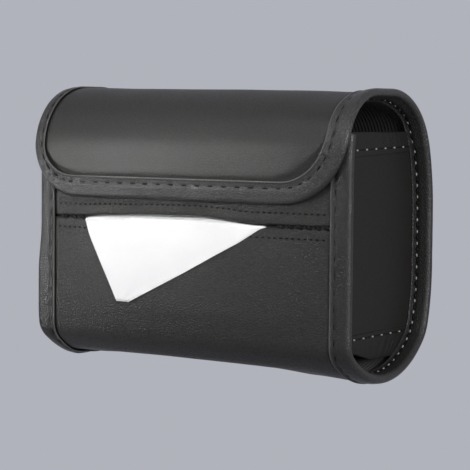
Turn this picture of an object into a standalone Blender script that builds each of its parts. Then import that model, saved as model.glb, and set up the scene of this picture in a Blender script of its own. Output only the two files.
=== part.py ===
# A car tissue holder: a soft sewn case with a slot in its front, open ends above its side panels, a
# flap that closes its mouth, and two elastic straps on its back. The sizes are in metres, +Z is up
# and the front faces -Y. The origin lies on the outside of the back, on the flat middle that goes
# against a sun visor or a seat.
#
# Sheets are cut flat, as a maker cuts them: x across, s along the side outline of the case, and the
# inset below that outline as the third coordinate. Then they are bent round the outline.

import math

import bmesh
import bpy
from mathutils import Matrix, Vector

# Case, over its bindings
CASE_WIDTH = 0.196
CASE_DEPTH = 0.090
CASE_HEIGHT = 0.150
MOUTH_BELOW_TOP = 0.023  # the mouth's edge, on the front and on the side panels
HINGE_ABOVE_MOUTH = 0.004
SLOT_BELOW_MOUTH = 0.047
FRONT_CORNER_RADIUS = 0.015
BACK_CORNER_RADIUS = 0.028
BACK_TOP_RADIUS = 0.042
BELLY = 0.0094  # how far the bottom hangs below its corners
BELLY_END_ANGLE = math.radians(-39.9)  # where its bow ends on the back corner, from the level
FRONT_LEAN = 0.0016  # how far the top of the front leans in under the flap
FRONT_LEAN_HEIGHT = 0.019
BACK_BOW = 0.0050  # how far the flat of the back stands out from its corners
BACK_EASE = 0.0169  # from each corner of the back to where the flat begins
ORIGIN_UP_FLAT_SHARE = 0.6984

# Sheets, and the air between two that touch
GAP = 0.0003
BINDING_THICKNESS = 0.0007
LEATHER_THICKNESS = 0.0008
BOARD_THICKNESS = 0.0008
LINING_THICKNESS = 0.0004
GUSSET_THICKNESS = 0.0005
BINDING_WIDTH = 0.011
HEM_LENGTH = 0.006
BOARD_MARGIN = 0.005

# Side panels
GUSSET_BOTTOM = 0.0165
GUSSET_TOP_HEM = 0.012
GUSSET_BOTTOM_HEM = 0.006

# Raised middle of the back
PAD_RISE = 0.0003
PAD_SLOPE = 0.004

# Flap
FLAP_FRONT_RADIUS = 0.032
FLAP_ABOVE_SLOT = 0.011
FLAP_LEFT_RADIUS = 0.028
FLAP_RIGHT_RADIUS = 0.038
FLAP_BINDING_WIDTH = 0.0116

# Closure patches, one on the front strip and one under the flap
PATCH_WIDTH = 0.040
PATCH_HEIGHT = 0.014
PATCH_ABOVE_BINDING = 0.001
HOOK_THICKNESS = 0.0006

# Elastic straps on the back, with a leather tab over each end
STRAP_WIDTH = 0.025
STRAP_THICKNESS = 0.0012
STRAP_FROM_END = 0.046  # from the end of the case to the middle of the strap
STRAP_PAST_FLAT = 0.026
STRAP_BESIDE_PAD = 0.0015
TAB_THICKNESS = 0.0008
TAB_LENGTH = 0.016
TAB_PAST_STRAP = 0.004
TAB_SIDE_MARGIN = 0.004
TAB_SLOPE = 0.0012

# Tissues
STACK_BELOW_MOUTH = 0.016
STACK_SIDE_ROOM = 0.0025
STACK_BACK_ROOM = 0.0185
STACK_EDGE = 0.003
TISSUE_THICKNESS = 0.0005
TISSUE_BEND_RADIUS = 0.0017
TISSUE_LEFT = 0.066  # from the middle of the slot to each edge of the tissue in it
TISSUE_RIGHT = 0.049
TISSUE_DROP = 0.0445
TISSUE_TIP_LEFT = 0.042
TISSUE_TIP_WIDTH = 0.008
TISSUE_TAIL = 0.040
TISSUE_NECK_MARGIN = 0.002
TISSUE_FOLD_DEPTH = 0.0022
TISSUE_CELL = 0.006

ANGLE_STEP = math.radians(6)
BINDING_ANGLE_STEP = math.radians(30)
SMOOTH_ANGLE = math.radians(35)
SNAP = 0.000001

# Depths of the layers below the side outline, from the outside inwards
leather_inset = BINDING_THICKNESS + GAP
board_inset = leather_inset + LEATHER_THICKNESS + GAP
lining_inset = board_inset + BOARD_THICKNESS + GAP
behind_lining = lining_inset + LINING_THICKNESS + GAP
hem_inset = behind_lining + LEATHER_THICKNESS
gusset_inset = behind_lining + GUSSET_THICKNESS
rim_thickness = gusset_inset + GAP + BINDING_THICKNESS
flap_thickness = behind_lining + BINDING_THICKNESS
pad_inset = leather_inset - PAD_RISE

# Places across the case
half_width = CASE_WIDTH / 2
layer_half_width = half_width - rim_thickness / 2
gusset_x = half_width - BINDING_WIDTH - GAP
hem_half_width = gusset_x - GUSSET_THICKNESS - GAP
strap_x = half_width - STRAP_FROM_END
pad_half_width = strap_x - STRAP_WIDTH / 2 - STRAP_BESIDE_PAD

# The centres of the side outline's corners as (y, z) from the lowest point of the case, and from
# there the places in the part's own frame
slot_gap = TISSUE_THICKNESS + 2 * GAP
front_corner_height = BELLY + FRONT_CORNER_RADIUS
back_corner_height = BELLY + BACK_CORNER_RADIUS
back_top_height = CASE_HEIGHT - BACK_TOP_RADIUS
flat_low_height = back_corner_height + BACK_EASE
flat_high_height = back_top_height - BACK_EASE
origin_height = flat_low_height + (flat_high_height - flat_low_height) * ORIGIN_UP_FLAT_SHARE
back_y = pad_inset
front_y = back_y - CASE_DEPTH
flap_front_y = front_y - GAP - flap_thickness
bottom_z = -origin_height
top_z = bottom_z + CASE_HEIGHT
mouth_z = top_z - MOUTH_BELOW_TOP
hinge_z = mouth_z + HINGE_ABOVE_MOUTH
slot_z = mouth_z - SLOT_BELOW_MOUTH
flap_edge_z = slot_z + FLAP_ABOVE_SLOT
flat_low_z = bottom_z + flat_low_height
flat_high_z = bottom_z + flat_high_height


def arc(centre, radius, start, end):
    """Points of an arc in the side view, both ends included, from the angle start to the angle end."""
    turn = (end - start + math.pi) % math.tau - math.pi
    steps = max(1, math.ceil(abs(turn) / ANGLE_STEP))
    angles = [start + turn * step / steps for step in range(steps + 1)]
    return [centre + radius * Vector((math.cos(a), math.sin(a))) for a in angles]


def angle_from(centre, point):
    way = point - centre
    return math.atan2(way.y, way.x)


def bowed_side(centre_a, radius_a, centre_b, radius_b, end_angle):
    """Centre and radius of the large arc that touches two corner arcs and bows out between them,
    from the angle at which it ends on the second one."""
    way = centre_b - centre_a
    outward = Vector((math.cos(end_angle), math.sin(end_angle)))
    difference = radius_b - radius_a
    reach = (way.length_squared - difference**2) / (2 * (difference + way.dot(outward)))
    return centre_b - outward * reach, radius_b + reach


def easing(corner_centre, corner_radius, flat_end_z):
    """Centre and radius of the arc that leads from a corner of the back into its flat."""
    rise = flat_end_z - corner_centre.y
    radius = corner_radius + (BACK_BOW**2 + rise**2) / (2 * BACK_BOW)
    return Vector((back_y - radius, flat_end_z)), radius


class Wrap:
    """A side outline that sheets are bent round. Its points are (y, z), its outer side is on the
    right of its way, and start holds the length at which each named stretch begins."""

    def __init__(self, stretches):
        self.points, self.start = [], {}
        for name, points in stretches.items():
            joins = self.points and (self.points[-1] - points[0]).length < SNAP
            self.start[name] = len(self.points) - 1 if joins else len(self.points)
            self.points += points[1:] if joins else points
        self.lengths = [0.0]
        for a, b in zip(self.points, self.points[1:]):
            self.lengths.append(self.lengths[-1] + (b - a).length)
        self.start = {name: self.lengths[index] for name, index in self.start.items()}
        ways = [(b - a).normalized() for a, b in zip(self.points, self.points[1:])]
        sides = [Vector((way.y, -way.x)) for way in ways]
        self.mitres = [sides[0]]
        self.mitres += [(a + b) / (1 + a.dot(b)) for a, b in zip(sides, sides[1:])]
        self.mitres.append(sides[-1])

    def place(self, s, inset):
        """The (y, z) of a point of a sheet, from its length along the outline and its inset."""
        index = sum(length <= s for length in self.lengths[1:-1])
        share = (s - self.lengths[index]) / (self.lengths[index + 1] - self.lengths[index])
        point = self.points[index].lerp(self.points[index + 1], share)
        return point - inset * self.mitres[index].lerp(self.mitres[index + 1], share)

    def reach(self, z, after):
        """The first length past the stretch named after at which the outline is at height z."""
        for index in range(self.lengths.index(self.start[after]), len(self.points) - 1):
            low, high = self.points[index].y, self.points[index + 1].y
            if min(low, high) <= z <= max(low, high) and low != high:
                step = self.lengths[index + 1] - self.lengths[index]
                return self.lengths[index] + step * (z - low) / (high - low)
        raise ValueError(f"the outline doesn't reach {z} past {after}")

    def stations(self, low, high):
        return [length for length in self.lengths if low + SNAP < length < high - SNAP]

    def bend(self, bm):
        for vert in bm.verts:
            x, s, inset = vert.co
            vert.co = (x, *self.place(s, inset))


def case_wrap():
    """The outline from the mouth down the front, round the bottom, up the back, over the top and
    down the front again, where the flap lies on the case."""
    lean_radius = (FRONT_LEAN_HEIGHT**2 + FRONT_LEAN**2) / (2 * FRONT_LEAN)
    lean = Vector((front_y + lean_radius, mouth_z - FRONT_LEAN_HEIGHT))
    lean_from = angle_from(lean, Vector((front_y + FRONT_LEAN, mouth_z)))
    front_corner = Vector((front_y + FRONT_CORNER_RADIUS, bottom_z + front_corner_height))
    back_corner_y = back_y - BACK_BOW - BACK_CORNER_RADIUS
    back_corner = Vector((back_corner_y, bottom_z + back_corner_height))
    back_top = Vector((back_y - BACK_BOW - BACK_TOP_RADIUS, top_z - BACK_TOP_RADIUS))
    flap_corner = Vector((flap_front_y + FLAP_FRONT_RADIUS, top_z - FLAP_FRONT_RADIUS))
    belly, belly_radius = bowed_side(
        front_corner, FRONT_CORNER_RADIUS, back_corner, BACK_CORNER_RADIUS, BELLY_END_ANGLE
    )
    low, low_radius = easing(back_corner, BACK_CORNER_RADIUS, flat_low_z)
    high, high_radius = easing(back_top, BACK_TOP_RADIUS, flat_high_z)
    belly_from, belly_to = angle_from(belly, front_corner), angle_from(belly, back_corner)
    low_from, high_to = angle_from(low, back_corner), angle_from(high, back_top)
    level, up, forward = 0.0, math.pi / 2, math.pi
    return Wrap(
        {
            "lean": arc(lean, lean_radius, lean_from, forward),
            "front": [Vector((front_y, lean.y)), Vector((front_y, front_corner.y))],
            "front_corner": arc(front_corner, FRONT_CORNER_RADIUS, forward, belly_from),
            "belly": arc(belly, belly_radius, belly_from, belly_to),
            "back_corner": arc(back_corner, BACK_CORNER_RADIUS, belly_to, low_from),
            "back": arc(low, low_radius, low_from, level),
            "flat": [Vector((back_y, flat_low_z)), Vector((back_y, flat_high_z))],
            "high_back": arc(high, high_radius, level, high_to),
            "back_top": arc(back_top, BACK_TOP_RADIUS, high_to, up),
            "top": [Vector((back_top.x, top_z)), Vector((flap_corner.x, top_z))],
            "flap_corner": arc(flap_corner, FLAP_FRONT_RADIUS, up, forward),
            "flap_front": [Vector((flap_front_y, flap_corner.y)), Vector((flap_front_y, bottom_z))],
        }
    )


wrap = case_wrap()
upper_lip = wrap.reach(slot_z + slot_gap / 2, "lean")
lower_lip = wrap.reach(slot_z - slot_gap / 2, "lean")
hinge = wrap.reach(hinge_z, "flat")
case_end = hinge - GAP / 2
flap_start = hinge + GAP / 2
flap_end = wrap.reach(flap_edge_z, "flap_front")
hinge_y = wrap.place(hinge, 0).x


def make_material(name, colour, roughness):
    material = bpy.data.materials.new(name)
    material.use_nodes = True
    shader = material.node_tree.nodes["Principled BSDF"]
    shader.inputs["Base Color"].default_value = (*colour, 1)
    shader.inputs["Roughness"].default_value = roughness
    shader.inputs["Metallic"].default_value = 0
    material.diffuse_color = (*colour, 1)
    return material


def add_part(name, bm, material, thickness=None, carrier=None):
    """Makes the object. A thickness goes inwards from the sheet's outer face."""
    mesh = bpy.data.meshes.new(name)
    bm.to_mesh(mesh)
    bm.free()
    mesh.materials.append(material)
    part = bpy.data.objects.new(name, mesh)
    holder.objects.link(part)
    if carrier:
        mesh.transform(Matrix.Translation(-carrier.location))
        part.parent = carrier
    if thickness:
        solidify = part.modifiers.new("Thickness", "SOLIDIFY")
        solidify.thickness = thickness
        solidify.offset = -1
        solidify.solidify_mode = "NON_MANIFOLD"
        solidify.nonmanifold_thickness_mode = "CONSTRAINTS"
    mesh.shade_smooth()
    mesh.set_sharp_from_angle(angle=SMOOTH_ANGLE)
    return part


def cut(bm, point, normal, only=None, clear=False):
    """Cuts the mesh along a plane, or only the given faces or edges and what bounds them."""
    if only:
        bounds = [v for item in only for v in item.verts]
        bounds += [e for item in only if isinstance(item, bmesh.types.BMFace) for e in item.edges]
        geometry = list(dict.fromkeys(only + bounds))
    else:
        geometry = bm.verts[:] + bm.edges[:] + bm.faces[:]
    bmesh.ops.bisect_plane(
        bm, geom=geometry, dist=SNAP, plane_co=point, plane_no=normal, clear_outer=clear
    )


def edges_at(bm, z, low=-CASE_DEPTH, high=CASE_DEPTH):
    """The level edges of a side panel at a height, between two depths."""
    return [
        edge
        for edge in bm.edges
        if all(abs(v.co.z - z) < SNAP and low - SNAP < v.co.y < high + SNAP for v in edge.verts)
    ]


def flat_sheet(outline, inset, path):
    """A flat sheet that looks outwards, cut across wherever the path turns."""
    bm = bmesh.new()
    face = bm.faces.new([bm.verts.new((x, s, inset)) for x, s in outline])
    face.normal_update()
    if face.normal.z > 0:
        face.normal_flip()
    lengths = [s for x, s in outline]
    for station in path.stations(min(lengths), max(lengths)):
        cut(bm, (0, station, 0), (0, 1, 0))
    return bm


def rectangle(left, right, start, end):
    return [(left, start), (right, start), (right, end), (left, end)]


def add_sheet(name, outline, inset, thickness, material, carrier=None, path=wrap):
    bm = flat_sheet(outline, inset, path)
    path.bend(bm)
    return add_part(name, bm, material, thickness, carrier)


def extrude_edges(bm, edges, step):
    """Grows faces from the edges and returns the new far edges."""
    grown = bmesh.ops.extrude_edge_only(bm, edges=edges)["geom"]
    verts = {item for item in grown if isinstance(item, bmesh.types.BMVert)}
    bmesh.ops.translate(bm, verts=list(verts), vec=step)
    return [
        item for item in grown if isinstance(item, bmesh.types.BMEdge) and set(item.verts) <= verts
    ]


def turn_in_hem(bm, lip, length):
    """Turns the lip of a flat sheet in behind the lining and back by a signed length."""
    edges = [
        edge
        for edge in bm.edges
        if all(abs(v.co.y - lip) < SNAP and abs(v.co.x) < hem_half_width + SNAP for v in edge.verts)
    ]
    edges = extrude_edges(bm, edges, (0, 0, hem_inset - leather_inset))
    extrude_edges(bm, edges, (0, length, 0))


def lipped_outline(lip, end):
    """A rectangle across the case, with a point on the lip at each end of its hem."""
    edge, hem = layer_half_width, hem_half_width
    return [(-edge, lip), (-hem, lip), (hem, lip), (edge, lip), (edge, end), (-edge, end)]


def add_case_leather():
    """Front below the slot, bottom and back, in one sheet with a turned lip and a raised pad."""
    bm = flat_sheet(lipped_outline(lower_lip, case_end), leather_inset, wrap)
    turn_in_hem(bm, lower_lip, HEM_LENGTH)
    low, high = wrap.start["flat"], wrap.start["high_back"]
    for side in (-1, 1):
        flat = [f for f in bm.faces if all(low - SNAP < v.co.y < high + SNAP for v in f.verts)]
        cut(bm, (side * (pad_half_width + PAD_SLOPE), 0, 0), (1, 0, 0), only=flat)
    middle = min(
        (f for f in bm.faces if all(low - SNAP < v.co.y < high + SNAP for v in f.verts)),
        key=lambda f: abs(f.calc_center_median().x),
    )
    bmesh.ops.inset_region(bm, faces=[middle], thickness=PAD_SLOPE, use_even_offset=True)
    bmesh.ops.translate(bm, verts=middle.verts, vec=(0, 0, -PAD_RISE))
    wrap.bend(bm)
    add_part("case_leather", bm, leather, LEATHER_THICKNESS)


def add_case_stiffening():
    """Boards in the front, the bottom and the back, and the lining that covers them."""
    behind_lip = lower_lip + LEATHER_THICKNESS + GAP
    ranges = {
        "front_board": (behind_lip, wrap.start["front_corner"]),
        "bottom_board": (wrap.start["belly"], wrap.start["back_corner"]),
        "back_board": (wrap.start["back"], case_end - BOARD_MARGIN),
    }
    for name, (start, end) in ranges.items():
        outline = rectangle(-layer_half_width, layer_half_width, start, end)
        add_sheet(name, outline, board_inset, BOARD_THICKNESS, board)
    outline = rectangle(-layer_half_width, layer_half_width, behind_lip, case_end)
    add_sheet("case_lining", outline, lining_inset, LINING_THICKNESS, lining)


def add_slot_strip():
    """The strip of the front above the slot, which the flap covers."""
    bm = flat_sheet(lipped_outline(upper_lip, 0), leather_inset, wrap)
    turn_in_hem(bm, upper_lip, -HEM_LENGTH)
    wrap.bend(bm)
    add_part("slot_strip", bm, leather, LEATHER_THICKNESS)
    above_lip = upper_lip - LEATHER_THICKNESS - GAP
    stiff = rectangle(-layer_half_width, layer_half_width, BOARD_MARGIN, above_lip)
    add_sheet("slot_strip_board", stiff, board_inset, BOARD_THICKNESS, board)
    whole = rectangle(-layer_half_width, layer_half_width, 0, above_lip)
    add_sheet("slot_strip_lining", whole, lining_inset, LINING_THICKNESS, lining)


def side_profile(inset):
    """The (y, z) of the case's side view at an inset: up the back to the top, and in front as high."""
    crown = wrap.start["top"]
    points = [wrap.place(s, inset) for s in [0, *wrap.stations(0, crown), crown]]
    return [Vector((points[0].x, points[-1].y)), *points]


def span_inside(z, inset):
    """The front and back y between the walls of the case at a height and an inset."""
    points = side_profile(inset)
    found = []
    for a, b in zip(points, points[1:]):
        if min(a.y, b.y) < z <= max(a.y, b.y):
            found.append(a.x + (b.x - a.x) * (z - a.y) / (b.y - a.y))
    return min(found), max(found)


def add_gusset(name, side):
    """A side panel: a web with turned-out edges under the binding and a folded hem at each end."""
    bottom = bottom_z + GUSSET_BOTTOM
    bm = bmesh.new()
    web = bm.faces.new([bm.verts.new((gusset_x, *point)) for point in side_profile(gusset_inset)])
    web.normal_update()
    if web.normal.x < 0:
        web.normal_flip()
    cut(bm, (0, 0, mouth_z), (0, 0, 1), clear=True)
    cut(bm, (0, 0, bottom), (0, 0, -1), clear=True)
    level = edges_at(bm, mouth_z) + edges_at(bm, bottom)
    flanged = [edge for edge in bm.edges if edge not in level]
    for z, outer_z, length in (
        (mouth_z, mouth_z + GUSSET_THICKNESS, -GUSSET_TOP_HEM),
        (bottom, bottom - GUSSET_THICKNESS, GUSSET_BOTTOM_HEM),
    ):
        low, high = span_inside(outer_z, rim_thickness + GAP)
        for y in (low, high):
            cut(bm, (0, y, 0), (0, 1, 0), only=edges_at(bm, z))
        hem = extrude_edges(bm, edges_at(bm, z, low, high), (GAP, 0, 0))
        extrude_edges(bm, hem, (0, 0, length))
    extrude_edges(bm, flanged, (layer_half_width - gusset_x, 0, 0))
    if side < 0:
        bmesh.ops.scale(bm, vec=(side, 1, 1), verts=bm.verts)
        bmesh.ops.reverse_faces(bm, faces=bm.faces)
    add_part(name, bm, leather, GUSSET_THICKNESS)


def binding_section(width, thickness):
    """The folded tape's section as (distance in from the edge, inset), round its outside and back
    along its inside."""
    outer, inner = thickness / 2, thickness / 2 - BINDING_THICKNESS
    steps = round(math.pi / BINDING_ANGLE_STEP)
    angles = [math.pi * step / steps for step in range(steps + 1)]
    section = [(width, 0)]
    section += [(outer - outer * math.sin(a), outer - outer * math.cos(a)) for a in angles]
    section += [(width, thickness), (width, thickness - BINDING_THICKNESS)]
    section += [(outer - inner * math.sin(a), outer + inner * math.cos(a)) for a in angles]
    return section + [(width, BINDING_THICKNESS)]


def add_binding(name, edge_line, section, material, carrier=None):
    """Sweeps the section along an edge. edge_line(distance) gives the flat points at that distance
    in from the edge."""
    columns = [[(x, s, inset) for x, s in edge_line(distance)] for distance, inset in section]
    bm = bmesh.new()
    rings = [[bm.verts.new(point) for point in ring] for ring in zip(*columns)]
    for ring, following in zip(rings, rings[1:]):
        for index in range(len(ring)):
            after = (index + 1) % len(ring)
            bm.faces.new((ring[index], ring[after], following[after], following[index]))
    bm.faces.new(rings[0])
    bm.faces.new(rings[-1])
    wrap.bend(bm)
    bmesh.ops.recalc_face_normals(bm, faces=bm.faces)
    add_part(name, bm, material, carrier=carrier)


def add_rim_bindings():
    section = binding_section(BINDING_WIDTH, rim_thickness)
    lengths = [0, *wrap.stations(0, case_end), case_end]
    for name, side in (("left_rim_binding", -1), ("right_rim_binding", 1)):
        add_binding(
            name,
            lambda distance, side=side: [(side * (half_width - distance), s) for s in lengths],
            section,
            binding,
        )


def flap_edge(distance):
    """The flat outline of the flap at a distance in from its edge, from hinge to hinge."""
    points = []
    for side, radius in ((-1, FLAP_LEFT_RADIUS), (1, FLAP_RIGHT_RADIUS)):
        straight_end = flap_end - radius
        lengths = [flap_start, *wrap.stations(flap_start, straight_end)]
        line = [(side * (half_width - distance), s) for s in lengths]
        steps = math.ceil(math.pi / 2 / ANGLE_STEP)
        reach = radius - distance
        for step in range(steps + 1):
            turn = math.pi / 2 * step / steps
            x = side * (half_width - radius + reach * math.cos(turn))
            line.append((x, straight_end + reach * math.sin(turn)))
        points += line if side < 0 else line[::-1]
    return points


def add_flap(carrier):
    """The flap's leather, board and lining, inside a binding that runs from hinge to hinge."""
    outline = flap_edge(flap_thickness / 2)
    add_sheet("flap_leather", outline, leather_inset, LEATHER_THICKNESS, leather, carrier)
    add_sheet("flap_lining", outline, lining_inset, LINING_THICKNESS, lining, carrier)
    start = flap_start + BOARD_MARGIN
    stiff = [(x, max(s, start)) for x, s in outline]
    stiff = list(dict.fromkeys(stiff))
    add_sheet("flap_board", stiff, board_inset, BOARD_THICKNESS, board, carrier)
    section = binding_section(FLAP_BINDING_WIDTH, flap_thickness)
    add_binding("flap_binding", flap_edge, section, binding, carrier)


def add_closure(carrier):
    """Loop tape on the strip and hook tape under the flap, one over the other."""
    low_z = flap_edge_z + FLAP_BINDING_WIDTH + PATCH_ABOVE_BINDING
    high_z = low_z + PATCH_HEIGHT
    sides = (-PATCH_WIDTH / 2, PATCH_WIDTH / 2)
    room = leather_inset + GAP + flap_thickness - behind_lining
    loop = room - HOOK_THICKNESS - 2 * GAP
    on_strip = rectangle(*sides, wrap.reach(high_z, "lean"), wrap.reach(low_z, "lean"))
    add_sheet("loop_patch", on_strip, leather_inset - GAP - loop, loop, hook_and_loop)
    start, end = wrap.reach(high_z, "flap_corner"), wrap.reach(low_z, "flap_corner")
    on_flap = rectangle(*sides, start, end)
    add_sheet("hook_patch", on_flap, behind_lining, HOOK_THICKNESS, hook_and_loop, carrier)


def add_tab(name, middle_x, start, end):
    """A leather tab over a strap's end: its middle lies on the strap and its sides on the case."""
    side_inset = leather_inset - GAP - TAB_THICKNESS
    middle_inset = side_inset - STRAP_THICKNESS - GAP
    over_strap = STRAP_WIDTH / 2 + GAP
    foot = over_strap + TAB_SLOPE
    edge = foot + TAB_SIDE_MARGIN
    bm = flat_sheet(rectangle(middle_x - edge, middle_x + edge, start, end), side_inset, wrap)
    for offset in (-foot, -over_strap, over_strap, foot):
        cut(bm, (middle_x + offset, 0, 0), (1, 0, 0))
    raised = [v for v in bm.verts if abs(v.co.x - middle_x) < over_strap + SNAP]
    bmesh.ops.translate(bm, verts=raised, vec=(0, 0, middle_inset - side_inset))
    wrap.bend(bm)
    add_part(name, bm, leather, TAB_THICKNESS)


def add_straps():
    """Two upright elastic straps, flat against the back, and a tab over each of their ends."""
    low = wrap.reach(flat_low_z - STRAP_PAST_FLAT, "back_corner")
    high = wrap.reach(flat_high_z + STRAP_PAST_FLAT, "high_back")
    outer_inset = leather_inset - GAP - STRAP_THICKNESS
    for name, x in (("left_strap", -strap_x), ("right_strap", strap_x)):
        outline = rectangle(x - STRAP_WIDTH / 2, x + STRAP_WIDTH / 2, low, high)
        add_sheet(name, outline, outer_inset, STRAP_THICKNESS, elastic)
        past = TAB_PAST_STRAP
        add_tab(name + "_lower_tab", x, low - past, low - past + TAB_LENGTH)
        add_tab(name + "_upper_tab", x, high + past - TAB_LENGTH, high + past)


def add_tissue_stack():
    """The folded tissues, which stand on the corners of the bottom and open at the slit."""
    bm = bmesh.new()
    half = hem_half_width - STACK_SIDE_ROOM
    bm.faces.new([bm.verts.new((-half, *point)) for point in side_profile(behind_lining)])
    front, back = front_y + hem_inset + GAP, back_y - lining_inset - STACK_BACK_ROOM
    base, top = bottom_z + BELLY + behind_lining, mouth_z - STACK_BELOW_MOUTH
    cut(bm, (0, back, 0), (0, 1, 0), clear=True)
    cut(bm, (0, front, 0), (0, -1, 0), clear=True)
    cut(bm, (0, 0, top), (0, 0, 1), clear=True)
    cut(bm, (0, 0, base), (0, 0, -1), clear=True)
    grown = bmesh.ops.extrude_face_region(bm, geom=bm.faces[:])["geom"]
    moved = [item for item in grown if isinstance(item, bmesh.types.BMVert)]
    bmesh.ops.translate(bm, verts=moved, vec=(2 * half, 0, 0))
    bmesh.ops.recalc_face_normals(bm, faces=bm.faces)
    stack = add_part("tissue_stack", bm, paper)
    soft = stack.modifiers.new("Soft edges", "BEVEL")
    soft.width = STACK_EDGE
    soft.segments = 2
    soft.limit_method = "ANGLE"

    slit_depth = TISSUE_TAIL + GAP
    slit = bmesh.new()
    bmesh.ops.create_cube(slit, size=1)
    neck_width = TISSUE_LEFT + TISSUE_RIGHT
    size = (neck_width, 2 * slit_depth, slot_gap)
    bmesh.ops.scale(slit, vec=size, verts=slit.verts)
    middle = (TISSUE_RIGHT - TISSUE_LEFT) / 2
    bmesh.ops.translate(slit, vec=(middle, front, slot_z), verts=slit.verts)
    mesh = bpy.data.meshes.new("stack_slit")
    slit.to_mesh(mesh)
    slit.free()
    cutter = bpy.data.objects.new("stack_slit", mesh)
    cutters.objects.link(cutter)
    cutter.hide_render = True
    cutter.display_type = "WIRE"
    opened = stack.modifiers.new("Slit", "BOOLEAN")
    opened.operation = "DIFFERENCE"
    opened.solver = "EXACT"
    opened.object = cutter


def tissue_wrap():
    """The way of the pulled tissue: level out of the stack and the slot, over the lip and down."""
    stack_front = front_y + hem_inset + GAP
    bend = Vector((front_y + leather_inset - GAP, slot_z - TISSUE_BEND_RADIUS))
    hang_y = bend.x - TISSUE_BEND_RADIUS
    return Wrap(
        {
            "tail": [Vector((stack_front + TISSUE_TAIL, slot_z)), Vector((bend.x, slot_z))],
            "lip": arc(bend, TISSUE_BEND_RADIUS, math.pi / 2, math.pi),
            "hanging": [Vector((hang_y, bend.y)), Vector((hang_y, slot_z - TISSUE_DROP))],
        }
    )


def add_pulled_tissue(carrier):
    """A corner of the next tissue, pulled through the slot and hanging in two shallow folds."""
    way = tissue_wrap()
    out, end = way.start["lip"], way.lengths[-1]
    left, right = -TISSUE_LEFT + TISSUE_NECK_MARGIN, TISSUE_RIGHT - TISSUE_NECK_MARGIN
    tip_left = -TISSUE_TIP_LEFT
    outline = [
        (left, 0), (right, 0), (right, out),
        (tip_left + TISSUE_TIP_WIDTH, end), (tip_left, end), (left, out),
    ]
    bm = flat_sheet(outline, -TISSUE_THICKNESS / 2, way)
    hang = way.start["hanging"]
    rows = math.ceil((end - hang) / TISSUE_CELL)
    for row in range(1, rows):
        cut(bm, (0, hang + (end - hang) * row / rows, 0), (0, 1, 0))
    columns = math.ceil((right - left) / TISSUE_CELL)
    for column in range(1, columns):
        cut(bm, (left + (right - left) * column / columns, 0, 0), (1, 0, 0))
    for vert in bm.verts:
        fall = max(0, (vert.co.y - hang) / (end - hang))
        across = (vert.co.x - tip_left) / (right - left)
        lift = fall * (1 - math.cos(2 * math.tau * across)) / 2 + fall**2 / 2
        vert.co.z -= TISSUE_FOLD_DEPTH * lift
    way.bend(bm)
    add_part("pulled_tissue", bm, paper, TISSUE_THICKNESS, carrier)


def add_carrier(name, place):
    empty = bpy.data.objects.new(name, None)
    empty.location = place
    holder.objects.link(empty)
    bpy.context.view_layer.update()
    return empty


for old in list(bpy.data.objects):
    bpy.data.objects.remove(old, do_unlink=True)
holder = bpy.data.collections.new("car_tissue_holder")
cutters = bpy.data.collections.new("cutters")
for collection in (holder, cutters):
    bpy.context.scene.collection.children.link(collection)

leather = make_material("black_leather", (0.035, 0.035, 0.036), 0.55)
binding = make_material("binding_tape", (0.045, 0.045, 0.046), 0.50)
lining = make_material("black_lining", (0.012, 0.012, 0.012), 0.85)
board = make_material("grey_board", (0.25, 0.24, 0.22), 0.90)
elastic = make_material("black_elastic", (0.020, 0.020, 0.021), 0.80)
hook_and_loop = make_material("hook_and_loop", (0.015, 0.015, 0.015), 0.95)
paper = make_material("white_tissue", (0.90, 0.90, 0.89), 0.90)

flap_carrier = add_carrier("flap_hinge", (0, hinge_y, hinge_z))
tissue_carrier = add_carrier("tissue_way", (0, front_y, slot_z))

add_case_leather()
add_case_stiffening()
add_slot_strip()
add_gusset("left_gusset", -1)
add_gusset("right_gusset", 1)
add_rim_bindings()
add_straps()
add_tissue_stack()
add_flap(flap_carrier)
add_closure(flap_carrier)
add_pulled_tissue(tissue_carrier)
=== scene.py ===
import bisect
import math

import bmesh
import bpy
from mathutils import Matrix, Quaternion, Vector, noise


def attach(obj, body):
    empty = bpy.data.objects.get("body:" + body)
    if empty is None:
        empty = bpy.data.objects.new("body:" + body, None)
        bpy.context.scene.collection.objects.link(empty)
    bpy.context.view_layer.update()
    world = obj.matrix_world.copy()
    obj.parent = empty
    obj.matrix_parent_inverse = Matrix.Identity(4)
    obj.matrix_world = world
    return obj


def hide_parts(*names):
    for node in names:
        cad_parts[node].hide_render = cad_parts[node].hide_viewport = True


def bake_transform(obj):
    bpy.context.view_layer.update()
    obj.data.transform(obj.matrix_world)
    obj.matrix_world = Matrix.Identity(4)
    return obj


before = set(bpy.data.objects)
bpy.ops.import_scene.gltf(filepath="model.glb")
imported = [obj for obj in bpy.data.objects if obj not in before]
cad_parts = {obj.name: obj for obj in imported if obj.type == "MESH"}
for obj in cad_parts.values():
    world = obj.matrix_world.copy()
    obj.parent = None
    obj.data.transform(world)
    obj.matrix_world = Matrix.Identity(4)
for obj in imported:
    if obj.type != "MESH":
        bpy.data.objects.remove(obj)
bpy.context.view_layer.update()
print("frame loaded")

# Sizes are in millimetres and angles in degrees. Every sheet is cut flat, x across the case and s
# along its side outline, and then bent round that outline at its own depth below it.
mm = 0.001

photoView = {
    "azimuth": 33.638,
    "elevation": 3.859,
    "roll": 0.499,
    "lens": 139.15,
    "distance": 978.15,
    "aim": (0, -44.3, -9.16),
    "right": 0.81,
}


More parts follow.
